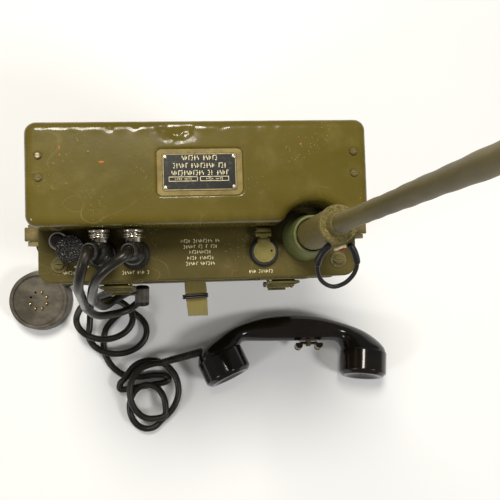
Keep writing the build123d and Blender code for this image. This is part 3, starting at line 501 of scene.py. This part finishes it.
# ---------------------------------------------------------------- mesh helpers
def piece(name, mesh, material, body, smooth=True):
    """Turns a bmesh into an object that rides on a body."""
    bmesh.ops.recalc_face_normals(mesh, faces=mesh.faces)
    data = bpy.data.meshes.new(name)
    mesh.to_mesh(data)
    mesh.free()
    for face in data.polygons:
        face.use_smooth = smooth
    data.materials.append(material)
    made = bpy.data.objects.new(name, data)
    bpy.context.scene.collection.objects.link(made)
    if body:
        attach(made, body)
    return made


def applied(made):
    """Replaces an object's mesh with the result of its modifiers."""
    bpy.context.view_layer.update()
    graph = bpy.context.evaluated_depsgraph_get()
    data = bpy.data.meshes.new_from_object(made.evaluated_get(graph))
    made.modifiers.clear()
    made.data = data
    for face in data.polygons:
        face.use_smooth = True
    return made


def moulded(node, voxel, passes, material, grain=None):
    """A softly rounded version of a CAD piece: remeshed, smoothed, and textured where grain is given."""
    data = nodes[node].data.copy()
    made = bpy.data.objects.new(node + "_moulded", data)
    data.materials.clear()
    data.materials.append(material)
    bpy.context.scene.collection.objects.link(made)
    remesh = made.modifiers.new("remesh", "REMESH")
    remesh.mode, remesh.voxel_size = "VOXEL", voxel
    rounding = made.modifiers.new("rounding", "SMOOTH")
    rounding.factor, rounding.iterations = 0.5, passes
    if grain:
        size, depth = grain
        texture = bpy.data.textures.new(node + "_grain", "CLOUDS")
        texture.noise_scale, texture.noise_depth = size, 3
        rough = made.modifiers.new("grain", "DISPLACE")
        rough.texture, rough.strength, rough.mid_level = texture, depth, 0.5
        rough.texture_coords = "GLOBAL"
    applied(made)
    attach(made, nodes[node]["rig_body"])
    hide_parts(node)
    return made


def bar(mesh, centre, size):
    """Adds a plain box of the given size."""
    place = Matrix.Translation(centre) @ Matrix.Diagonal((*size, 1))
    bmesh.ops.create_cube(mesh, size=1, matrix=place)


def join_loops(mesh, loops):
    """Adds the faces between each loop of points and the next."""
    for a, b in zip(loops, loops[1:]):
        for k in range(len(a)):
            after = (k + 1) % len(a)
            mesh.faces.new((a[k], a[after], b[after], b[k]))


def tube(mesh, centres, radii, sides=20, closed=False):
    """Adds a tube through centres, with one radius or one per centre."""
    count = len(centres)
    radii = [radii] * count if isinstance(radii, (int, float)) else radii
    loops = []
    side = None
    for i, centre in enumerate(centres):
        before = centres[(i - 1) % count] if closed or i else centre
        after = centres[(i + 1) % count] if closed or i < count - 1 else centre
        along = (Vector(after) - Vector(before)).normalized()
        if side is None:
            side = along.orthogonal().normalized()
        side = (side - along * side.dot(along)).normalized()
        across = along.cross(side)
        loop = []
        for k in range(sides):
            angle = 2 * math.pi * k / sides
            offset = (side * math.cos(angle) + across * math.sin(angle)) * radii[i]
            loop.append(mesh.verts.new(Vector(centre) + offset))
        loops.append(loop)
    join_loops(mesh, loops + loops[:1] if closed else loops)
    if not closed:
        mesh.faces.new(loops[0][::-1])
        mesh.faces.new(loops[-1])


def lathe(mesh, profile, centre, axis=(0, 0, 1), sides=64):
    """Adds a closed turned shape from (radius, height) points along an axis through centre."""
    turn = Vector((0, 0, 1)).rotation_difference(Vector(axis)).to_matrix()
    loops = []
    for radius, height in profile:
        loop = []
        for k in range(sides):
            angle = 2 * math.pi * k / sides
            local = Vector((radius * math.cos(angle), radius * math.sin(angle), height))
            loop.append(mesh.verts.new(Vector(centre) + turn @ local))
        loops.append(loop)
    join_loops(mesh, loops + loops[:1])


def ring_profile(radius, tube_radius, low, high, points=12):
    """(radius, height) points of a flattened round section, for lathe."""
    half = (high - low) / 2
    return [(radius + tube_radius * math.cos(2 * math.pi * i / points),
             low + half + half * math.sin(2 * math.pi * i / points)) for i in range(points)]


# ---------------------------------------------------------------- lettering, replaced by plain strokes
PANEL_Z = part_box("control_panel")[1].z
LETTER_H, LETTER_STEP = 2.7 * MM, 2.25 * MM
INK_T = 0.16 * MM
# Strokes of one sign: left, up, width and height, as shares of the sign's own width and height.
MARKS = (((0, 0, 0, 1), (0.5, 0.5, 1, 0)), ((0, -0.35, 0, 0.5), (0, 0.3, 0, 0.4), (0, 0, 1, 0)),
         ((-0.4, 0, 0, 1), (0.4, 0, 0, 0.55)), ((0, 0.5, 1, 0), (0, -0.5, 1, 0), (0.35, 0, 0, 0.45)),
         ((-0.35, 0.2, 0, 0.6), (0.35, -0.2, 0, 0.6), (0, 0, 0.8, 0)))


def dash_row(mesh, centre, words, height=LETTER_H, step=LETTER_STEP):
    """A line of small strokes in word-like groups: it reads as marking, and spells nothing."""
    total = (sum(words) + len(words) - 1) * step
    x = centre[0] - total / 2 + step / 2
    wide, line = step * 0.58, step * 0.24
    count = 0
    for word in words:
        for _ in range(word):
            count += 1
            for left, up, across, tall in MARKS[(count * 3 + word) % len(MARKS)]:
                spot = (x + left * wide, centre[1] + up * height, centre[2])
                bar(mesh, spot, (max(across * wide, line), max(tall * height, line), INK_T))
            x += step
        x += step


def panel_marks():
    """Notice in the middle of the panel, one label under each fitting, and the volume arrow."""
    mesh = bmesh.new()
    top = PANEL_Z + INK_T / 2 + 0.02 * MM
    notice = [((0.3, -32.4), (4, 8, 2)), ((0.3, -37.6), (5, 2, 1, 3)), ((0.0, -42.6), (9,)),
              ((0.3, -48.0), (4, 6)), ((0.0, -53.2), (5, 6))]
    labels = [((-117.5, -58.6), (6,)), ((-87, -59.0), (4,)), ((-59, -59.8), (5, 3, 1)),
              ((55.7, -61.9), (3, 6))]
    for (x, y), words in notice + labels:
        dash_row(mesh, (x * MM, y * MM, top), words)
    arrow_y = -53.4
    bar(mesh, (-105.5 * MM, arrow_y * MM, top), (9 * MM, 1.5 * MM, INK_T))
    head = [mesh.verts.new((x * MM, (arrow_y + off) * MM, z)) for z in (top + INK_T / 2, top - INK_T / 2)
            for x, off in ((-109.5, 2.2), (-114.5, 0), (-109.5, -2.2))]
    mesh.faces.new(head[:3])
    mesh.faces.new(head[5:2:-1])
    for a, b in ((0, 1), (1, 2), (2, 0)):
        mesh.faces.new((head[a], head[b], head[b + 3], head[a + 3]))
    piece("panel_marks", mesh, cream_ink, "set", smooth=False)


def outline(mesh, low, high, z, line):
    """A rectangular frame of four bars."""
    width, height = high[0] - low[0], high[1] - low[1]
    middle = ((low[0] + high[0]) / 2, (low[1] + high[1]) / 2)
    for side in (-1, 1):
        bar(mesh, (middle[0], middle[1] + side * height / 2, z), (width + line, line, INK_T))
        bar(mesh, (middle[0] + side * width / 2, middle[1], z), (line, height, INK_T))


def nameplate_marks():
    low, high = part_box("nameplate")
    mesh = bmesh.new()
    z = high.z + INK_T / 2 + 0.02 * MM
    middle = (low.x + high.x) / 2
    for y, words in ((35.0, (6, 5)), (28.4, (5, 8, 3)), (22.2, (11, 2, 4))):
        dash_row(mesh, (middle, y * MM, z), words, 3.7 * MM, 2.55 * MM)
    for left, right in ((-26, -2), (0.5, 24.5)):
        outline(mesh, (middle + left * MM, 15.2 * MM), (middle + right * MM, 18.8 * MM), z, 0.5 * MM)
        dash_row(mesh, (middle + (left + right) / 2 * MM, 17.0 * MM, z), (4, 4), 1.3 * MM, 1.6 * MM)
    piece("nameplate_marks", mesh, cream_ink, "lid", smooth=False)
    rim = bmesh.new()
    outline(rim, (low.x + 0.8 * MM, low.y + 0.8 * MM), (high.x - 0.8 * MM, high.y - 0.8 * MM), z, 0.7 * MM)
    piece("nameplate_border", rim, gold_ink, "lid", smooth=False)


def recess_liner():
    """Bare, yellowed sheet in the nameplate's recess."""
    low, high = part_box("nameplate")
    mesh = bmesh.new()
    centre = ((low.x + high.x) / 2, (low.y + high.y) / 2)
    half, inner_half = (36.2 * MM, 19.7 * MM), (31.8 * MM, 16.3 * MM)
    bottom = low.z + 0.05 * MM
    top = bottom + 0.25 * MM
    loops = []
    for size, radius, z in ((half, 4.5 * MM, bottom), (half, 4.5 * MM, top),
                            (inner_half, 2 * MM, top), (inner_half, 2 * MM, bottom)):
        loops.append([mesh.verts.new((centre[0] + x, centre[1] + y, z))
                      for x, y in rounded_rectangle(size, radius)])
    join_loops(mesh, loops + loops[:1])
    piece("nameplate_liner", mesh, liner_paint, "lid", smooth=False)


def rounded_rectangle(half, radius, steps=6):
    points = []
    for corner, (sx, sy) in enumerate(((1, 1), (-1, 1), (-1, -1), (1, -1))):
        for step in range(steps + 1):
            angle = math.radians(90 * corner + 90 * step / steps)
            points.append((sx * (half[0] - radius) + radius * math.cos(angle),
                           sy * (half[1] - radius) + radius * math.sin(angle)))
    return points


# ---------------------------------------------------------------- lid
def pressed_lid():
    """The lid as one soft steel pressing, with the dent and small dings in its rear edge."""
    made = moulded("lid_shell", 0.8 * MM, 4, lid_paint)
    dings = [(-17, 57, 11, 6, 2.2), (-8, 60, 4, 4, 1.2), (-28, 60, 6, 4, 0.9), (-52, 63, 3, 3, 0.6),
             (-74, 62, 3, 3, 0.5), (21, 62, 5, 3, 0.4), (64, 62, 4, 3, 0.4)]
    for vertex in made.data.vertices:
        spot = vertex.co
        near_top = max(0.0, 1 - (lid_high.z - spot.z) / (14 * MM))
        if near_top == 0 or spot.y < 0.03:
            continue
        sink = 0.0
        for x, y, wide, deep, depth in dings:
            away = ((spot.x / MM - x) / wide) ** 2 + ((spot.y / MM - y) / deep) ** 2
            crumple = 1 + 0.7 * noise.noise(Vector((spot.x * 160, spot.y * 160, 0)))
            sink += depth * MM * math.exp(-away) * crumple
        ripple = noise.noise(Vector((spot.x * 110, spot.y * 60, 3)))
        wander = 0.3 * MM * ripple * math.exp(-((spot.y / MM - 62) / 5) ** 2)
        spot.z -= (sink + wander) * near_top
        spot.y -= 0.4 * sink * near_top


# ---------------------------------------------------------------- cords, plugs and handset
JACKS = ((-88, -43.5), (-59, -43.5), (59, -44))
PLUG_EXITS = ((-95, -41), (-61.8, -42))
PLUG_TOP = 425.5
CORD_R = 4.5 * MM


def coil(centre, radii, low, high, start, turn):
    """Spots every 30 degrees round a flat loop that climbs from low to high, in millimetres."""
    steps = round(abs(turn) / 30)
    spots = []
    for step in range(steps + 1):
        angle = math.radians(start + turn * step / steps)
        spots.append((centre[0] + radii[0] * math.cos(angle), centre[1] + radii[1] * math.sin(angle),
                      low + (high - low) * step / steps))
    return spots


def tangled_cord():
    """The handset's cord with all the turns of its tangle: a flat fold, then three crossing rings."""
    hang = [(-66.5, -80, 187), (-66.5, -82, 180), (-66.9, -82, 175), (-70, -81.5, 165), (-82, -79, 149),
            (-103, -78, 124), (-128, -84, 96), (-152, -94, 70)]
    loops = coil((-129, -117), (38, 28), 44, 21, 170, 310) + coil((-114, -137), (41, 31), 19, 5, 160, 275)
    drop = [(-128, -127, 5), (-135, -148, 5), (-133, -169, 5), (-123, -187, 5), (-106, -200, 5)]
    fold = [(-84, -203, 5), (-64, -201, 5.5), (-49, -202, 7), (-42.5, -207, 9), (-50, -212, 10),
            (-68, -214.5, 10.5), (-90, -217, 12), (-107, -219, 13), (-112.5, -217, 14.5), (-111, -209, 16)]
    rings = coil((-69, -221.5), (40, 43), 18, 17, 155, -195) + coil((-73.5, -244.5), (25.5, 31.5), 12, 21,
                                                                    -40, -345)
    rings += coil((-64.5, -222), (33, 39), 24, 29.5, -105, -160)
    lead = [(-50, -181, 29.5), (-36, -177.6, 29.7), (-22, -174.5, 29.9)]
    mesh = bmesh.new()
    tube(mesh, smooth_path(hang + loops + drop + fold + rings + lead, 5), CORD_R, 24)
    made = piece("tangled_cord", mesh, cord_rubber, "set")
    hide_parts("handset_cord")


def spring_relief():
    """Closely wound taped spring over the last length of the cord, up to the handset."""
    run = [Vector(spot) * MM for spot in ((-50, -181, 29.4), (-36, -177.6, 29.7), (-22, -174.5, 29.9),
                                          (-8, -171.1, 30), (6.5, -167.6, 30))]
    turns, steps = 24, 10
    total = turns * steps
    centres, radii = [], []
    for i in range(total + 1):
        share = i / total
        leg = min(int(share * (len(run) - 1)), len(run) - 2)
        centres.append(run[leg].lerp(run[leg + 1], share * (len(run) - 1) - leg))
        rib = 0.45 * MM * math.sin(2 * math.pi * turns * share)
        radii.append(5.1 * MM + 0.5 * MM * share + rib)
    mesh = bmesh.new()
    tube(mesh, centres, radii, 24)
    piece("cord_strain_relief", mesh, tape, "set")


HANDSET_AT = (131.5, -161.5, 29.2)
HANDSET_TURN = -1.7
HANDSET_ROLL = -15
# Cross-sections along the handset in its own frame, in mm: outer edge, inner edge, half depth.
HANDSET = [((-130.5, -29.8), (-71.5, -2.2), 32.6), ((-130.6, -21.5), (-70.3, 0.4), 32.0),
           ((-126.2, -9.5), (-68.8, 2.6), 29.6), ((-115.4, 2.4), (-67.0, 4.0), 26.2),
           ((-98.6, 15.4), (-64.6, 4.6), 21.6), ((-78, 26.2), (-60.5, 4.8), 18.4),
           ((-58.3, 33.2), (-52, 4.7), 17), ((-38, 38.6), (-35, 4.5), 16.8), ((-17, 41.4), (-16, 4.4), 17),
           ((6, 42.4), (6, 4.4), 17.2), ((29, 41.2), (28, 4.5), 17.2), ((52, 37.4), (46, 4.7), 17),
           ((74.5, 31), (58.5, 4.9), 17.2), ((94.5, 24), (66.5, 4.2), 19), ((112.5, 15), (71, 2.2), 22.8),
           ((128, 3), (73.6, -2), 27.2), ((137.2, -8), (75, -6.4), 31), ((139.9, -16.4), (75.1, -9.6), 32.6)]


def handset_frame():
    """Lays shapes drawn in the handset's own frame on the floor."""
    turn = Matrix.Rotation(math.radians(HANDSET_TURN), 4, "Z")
    roll = Matrix.Rotation(math.radians(HANDSET_ROLL), 4, "X")
    return Matrix.Translation(Vector(HANDSET_AT) * MM) @ turn @ roll


def handset_body():
    """Grip that swells smoothly into both cap seats."""
    place, sides = handset_frame(), 64
    outer = smooth_path([(*far, 0) for far, _, _ in HANDSET], 7)
    inner = smooth_path([(*near, depth) for _, near, depth in HANDSET], 7)
    mesh = bmesh.new()
    loops = []
    for far, near in zip(outer, inner):
        edge = Vector((near.x, near.y, 0))
        middle, reach = (far + edge) / 2, (far - edge) / 2
        loop = []
        for k in range(sides):
            angle = 2 * math.pi * k / sides
            spot = middle + reach * math.cos(angle) + Vector((0, 0, near.z * math.sin(angle)))
            loop.append(mesh.verts.new(place @ spot))
        loops.append(loop)
    join_loops(mesh, loops)
    mesh.faces.new(loops[0][::-1])
    mesh.faces.new(loops[-1])
    made = piece("handset_body", mesh, moulding, "set")
    made.data.set_sharp_from_angle(angle=math.radians(50))
    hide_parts("handset_shell")


def switch_lips():
    """Worn brass edge round the finger side of each lobe of the talk switch, at both ends."""
    place = handset_frame()
    mesh = bmesh.new()
    for x, ends in ((13.5, (-8.2, -6.9)), (13.5, (6.9, 8.2)), (42.5, (-8.2, -6.9)), (42.5, (6.9, 8.2))):
        section = []
        for radius, angles in ((5.25, range(205, 336, 13)), (5.85, range(335, 204, -13))):
            for angle in map(math.radians, angles):
                section.append((x + radius * math.cos(angle), -2.6 + radius * math.sin(angle)))
        low, high = [[mesh.verts.new(place @ (Vector((u, v, z)) * MM)) for u, v in section]
                     for z in ends]
        join_loops(mesh, [low, high])
        mesh.faces.new(low[::-1])
        mesh.faces.new(high)
    piece("talk_switch_strips", mesh, brass, "talk", smooth=False)


def plug_lips():
    """Raised rubber lip round each cord where it leaves its plug."""
    mesh = bmesh.new()
    for x, y in PLUG_EXITS:
        lathe(mesh, ring_profile(5.6 * MM, 1.3 * MM, -1.2 * MM, 1.4 * MM), (x * MM, y * MM, PLUG_TOP * MM))
    piece("plug_cord_lips", mesh, black_rubber, "set")


def plug_clamps():
    """Worn nickel clamp nuts on the back of each plug: smooth neck, two thin ribs and a wide flange."""
    ribs = [(0.5, 0), (7.3, 0), (7.3, 3.4), (8.3, 3.8), (8.7, 4.5), (8.3, 5.2), (7.7, 5.4), (8.5, 5.8),
            (8.9, 6.5), (8.5, 7.2), (7.5, 7.5), (7.5, 8.2), (8.9, 8.6), (9.4, 9.4), (9.4, 10.5), (8.9, 11.4),
            (7.8, 11.8), (0.5, 11.8)]
    low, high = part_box("plug_glands")
    mesh = bmesh.new()
    for x in (low.x + 8.6 * MM, high.x - 8.6 * MM):
        base = (x, high.y - 12 * MM, (low.z + high.z) / 2)
        lathe(mesh, [(r * MM, h * MM) for r, h in ribs], base, (0, 1, 0))
    made = piece("plug_clamps", mesh, nickel, "set")
    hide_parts("plug_glands")


def bracket_caps():
    """Folded metal cap over each side bracket's pin."""
    mesh = bmesh.new()
    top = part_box("side_brackets")[1].z
    for side in (-1, 1):
        middle = (side * 154.2 * MM, -21.5 * MM, top + 0.9 * MM)
        bar(mesh, middle, (15 * MM, 13 * MM, 1.5 * MM))
    bmesh.ops.bevel(mesh, geom=mesh.edges[:], offset=0.6 * MM, segments=3, affect="EDGES")
    piece("bracket_caps", mesh, tan_paint, "set")


def flap_bracket():
    """Folded hinge bracket behind the spare jack's cover, and the wide shoulder of the cover itself."""
    low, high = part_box("aux_hinge")
    x = (low.x + high.x) / 2
    fixed = bmesh.new()
    bar(fixed, (x, low.y + 6.3 * MM, high.z + 0.5 * MM), (13.4 * MM, 4.8 * MM, 1.2 * MM))
    bar(fixed, (x, low.y + 8.4 * MM, (low.z + high.z) / 2), (13.4 * MM, 0.9 * MM, high.z - low.z))
    bmesh.ops.bevel(fixed, geom=fixed.edges[:], offset=0.25 * MM, segments=2, affect="EDGES")
    piece("aux_hinge_bracket", fixed, flap_paint, "set")
    shoulder = bmesh.new()
    bar(shoulder, (x, low.y - 3.4 * MM, low.z + 7.3 * MM), (11.6 * MM, 4.8 * MM, 1.4 * MM))
    bmesh.ops.bevel(shoulder, geom=shoulder.edges[:], offset=0.3 * MM, segments=2, affect="EDGES")
    piece("aux_cover_shoulder", shoulder, flap_paint, "aux_flap")


def boot_rims():
    """Thin ring round the rubber boots of the jacks, in the boots' own rubber."""
    mesh = bmesh.new()
    for x, y in JACKS:
        lathe(mesh, ring_profile(13.0 * MM, 0.7 * MM, 0, 1.4 * MM), (x * MM, y * MM, PANEL_Z))
    piece("boot_rims", mesh, boot_rubber, "set")


def smooth_path(spots, steps):
    """Catmull-Rom points through the spots, in millimetres."""
    ends = [2 * Vector(spots[0]) - Vector(spots[1])], [2 * Vector(spots[-1]) - Vector(spots[-2])]
    run = ends[0] + [Vector(spot) for spot in spots] + ends[1]
    path = []
    for before, a, b, after in zip(run, run[1:], run[2:], run[3:]):
        for i in range(steps):
            t = i / steps
            path.append(0.5 * MM * (2 * a + (b - before) * t + (2 * before - 5 * a + 4 * b - after) * t ** 2
                                    + (3 * a - before - 3 * b + after) * t ** 3))
    return path + [run[-2] * MM]


LOOP = [(95.5, -45.5, 509), (90.2, -51, 506), (87.0, -58, 502), (87.6, -66, 497), (92.4, -73.5, 491),
        (101.5, -77.4, 487), (110.5, -74.5, 490), (116.2, -67.5, 496), (117.4, -60, 501), (114.8, -52, 505.5),
        (110.5, -45.5, 509)]


def antenna_ring():
    """Black wire ring under the flange, with a thicker sleeve on each upper end."""
    path = smooth_path(LOOP, 8)
    mesh = bmesh.new()
    tube(mesh, path, 1.75 * MM, 20)
    made = piece("antenna_ring", mesh, black_rubber, "set")
    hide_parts("antenna_loop")
    sleeves = bmesh.new()
    for run in (path[:20], path[-17:]):
        last = len(run) - 1
        tube(sleeves, run, [(2.7 - 0.5 * (i in (0, last))) * MM for i in range(last + 1)], 20)
    piece("loop_sleeves", sleeves, black_rubber, "set")


def loop_tag():
    """Short cream and red bands on the wire between the loop's sleeves."""
    for name, ends, material in (("loop_tag_cream", ((98.5, -49.4, 508), (107.5, -46.8, 509)), cream_ink),
                                 ("loop_tag_red", ((102.5, -49.9, 508), (106, -48.8, 508.6)), red_ink)):
        start, end = [Vector(spot) * MM for spot in ends]
        mesh = bmesh.new()
        tube(mesh, [start, start.lerp(end, 0.5), end], 1.3 * MM, 16)
        piece(name, mesh, material, "set")


def antenna_sheath():
    """Cloth-covered gooseneck and rod in one length, thicker at its foot and rounded off at its tip."""
    low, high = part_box("antenna_rod")
    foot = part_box("antenna_gooseneck")
    centre = ((low.x + high.x) / 2, (low.y + high.y) / 2)
    radius = (high.x - low.x) / 2
    start, end = foot[0].z - 0.6 * MM, high.z
    mesh = bmesh.new()
    rings = 260
    spots, radii = [], []
    for i in range(rings + 1):
        share = i / rings
        swell = 0.12 * MM * math.sin(share * 61) + 0.1 * MM * math.sin(share * 23 + 1)
        spots.append((centre[0] + 0.15 * MM * math.sin(share * 17), centre[1], start + (end - start) * share))
        radii.append(radius + swell + 1.6 * MM * math.exp(-share * 4))
    for back, inset in ((0, 3.2 * MM), (1, 1.6 * MM), (2, 0.7 * MM), (3, 0.2 * MM)):
        radii[rings - back] -= inset
    tube(mesh, spots, radii, 40)
    made = piece("antenna_sheath", mesh, sheath_finish, None)
    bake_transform(made)
    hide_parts("antenna_gooseneck", "antenna_rod")


# ---------------------------------------------------------------- webbing
def webbing_strap():
    """Folded cotton strap with a sewn end, a little curled, held by the black wire keeper."""
    low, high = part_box("webbing_tab")
    wide, long = 20 * MM, high.y - low.y
    mesh = bmesh.new()
    across, along = 10, 28
    sheets = []
    for layer in (0.9 * MM, -0.9 * MM):
        rows = []
        for i in range(along + 1):
            share = i / along
            row = []
            for k in range(across + 1):
                side = k / across - 0.5
                drift = -2.2 * MM * share
                x = (low.x + high.x) / 2 - 4 * MM + side * wide * (1 + 0.04 * math.sin(share * 5)) - drift
                y = high.y - 0.4 * MM - long * share
                droop = 2 * MM * share + 9 * MM * share * share
                cup = 1.0 * MM * (2 * side) ** 2 * math.sin(math.pi * share)
                z = high.z - 1.6 * MM - droop + cup + layer
                row.append(mesh.verts.new((x, y, z)))
            rows.append(row)
        sheets.append(rows)
    top, under = sheets
    for rows in sheets:
        for a, b in zip(rows, rows[1:]):
            for k in range(across):
                mesh.faces.new((a[k], a[k + 1], b[k + 1], b[k]))
    edge = [(i, 0) for i in range(along + 1)] + [(along, k) for k in range(1, across + 1)]
    edge += [(i, across) for i in range(along - 1, -1, -1)] + [(0, k) for k in range(across - 1, 0, -1)]
    for (i, k), (j, m) in zip(edge, edge[1:] + edge[:1]):
        mesh.faces.new((top[i][k], top[j][m], under[j][m], under[i][k]))
    made = piece("webbing_strap", mesh, cloth, "set")
    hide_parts("webbing_tab")


def strap_band():
    """Two turns of black cord that hold the folded strap."""
    low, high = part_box("tab_keeper")
    middle = Vector(((low.x + high.x) / 2 - 4 * MM, (low.y + high.y) / 2, (low.z + high.z) / 2))
    mesh = bmesh.new()
    for shift in (-1.1, 1.0):
        path = []
        for i in range(40):
            angle = 2 * math.pi * i / 40
            wide = math.copysign(abs(math.cos(angle)) ** 0.5, math.cos(angle)) * 11.4 * MM
            tall = math.copysign(abs(math.sin(angle)) ** 0.5, math.sin(angle)) * 3.0 * MM
            path.append(middle + Vector((wide, shift * MM + 0.05 * wide, tall)))
        tube(mesh, path, 1.05 * MM, 12, closed=True)
    made = piece("strap_band", mesh, black_rubber, "set")
    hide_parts("tab_keeper")


liner_paint = flat_paint("liner_paint", (0.27, 0.20, 0.065), (0.17, 0.125, 0.04), (0.45, 0.36, 0.15))
tape = rubber("friction_tape", (0.014, 0.013, 0.011), (0.05, 0.045, 0.032), 0.35, 500)

panel_marks()
nameplate_marks()
recess_liner()
tangled_cord()
spring_relief()
handset_body()
switch_lips()
plug_lips()
boot_rims()
flap_bracket()
antenna_ring()
loop_tag()
plug_clamps()
bracket_caps()
strap_band()
antenna_sheath()
webbing_strap()
pressed_lid()
moulded("mouthpiece_cap", 0.8 * MM, 8, moulding)
moulded("earpiece_cap", 0.8 * MM, 8, moulding)
moulded("plug_bodies", 0.6 * MM, 8, plug_rubber)
moulded("antenna_sleeve", 0.5 * MM, 4, sleeve_finish, (0.9 * MM, 0.22 * MM))
moulded("antenna_cup", 0.6 * MM, 5, insulator)
moulded("volume_knob", 0.35 * MM, 2, knob_finish, (1.5 * MM, 0.55 * MM))
moulded("jack_boots", 0.45 * MM, 4, boot_rubber)
moulded("power_plug", 0.8 * MM, 3, plug_moulding)


# ---------------------------------------------------------------- stage
def area_light(name, at, aim, size, watts, tint=(1, 1, 1)):
    data = bpy.data.lights.new(name, "AREA")
    data.shape, data.size, data.energy, data.color = "DISK", size, watts, tint
    lamp = bpy.data.objects.new(name, data)
    lamp.location = at
    lamp.rotation_euler = (Vector(aim) - Vector(at)).to_track_quat("-Z", "Y").to_euler()
    bpy.context.scene.collection.objects.link(lamp)


def build_stage():
    """Pale floor, a soft room and three lamps."""
    mesh = bmesh.new()
    bmesh.ops.create_grid(mesh, x_segments=1, y_segments=1, size=6)
    data = bpy.data.meshes.new("floor")
    mesh.to_mesh(data)
    mesh.free()
    floor = bpy.data.objects.new("floor", data)
    bpy.context.scene.collection.objects.link(floor)
    g = Graph("pale_floor")
    data.materials.append(g.finish(g.mix(g.noise(3), (0.93, 0.93, 0.92), (0.95, 0.95, 0.94)), 0.7))
    world = bpy.data.worlds.new("soft_room")
    world.use_nodes = True
    background = world.node_tree.nodes["Background"]
    background.inputs["Color"].default_value = (1.0, 0.985, 0.96, 1)
    background.inputs["Strength"].default_value = 0.24
    bpy.context.scene.world = world
    area_light("key", (-0.25, 0.95, 2.25), (0, 0, 0.3), 0.75, 42, (1.0, 0.96, 0.88))
    area_light("fill", (1.5, -0.8, 2.0), (0, 0, 0.2), 0.6, 18)
    area_light("side", (-1.6, -0.9, 1.6), (0, 0, 0.3), 0.6, 9)
    bpy.context.scene.view_settings.view_transform = "Standard"


CAMERA_AT = (-0.0119, -0.0729, 1.0183)
CAMERA_TILT = (2.93, -5.15, -1.72)
LENS_MM, SENSOR_MM = 49.53, 36.0


def build_camera():
    """Looks almost straight down from above the operator's edge of the panel."""
    data = bpy.data.cameras.new("camera")
    data.lens, data.sensor_width = LENS_MM, SENSOR_MM
    data.clip_start = 0.01
    camera = bpy.data.objects.new("camera", data)
    camera.location = CAMERA_AT
    camera.rotation_euler = [math.radians(a) for a in CAMERA_TILT]
    bpy.context.scene.collection.objects.link(camera)
    bpy.context.scene.camera = camera


build_stage()
build_camera()
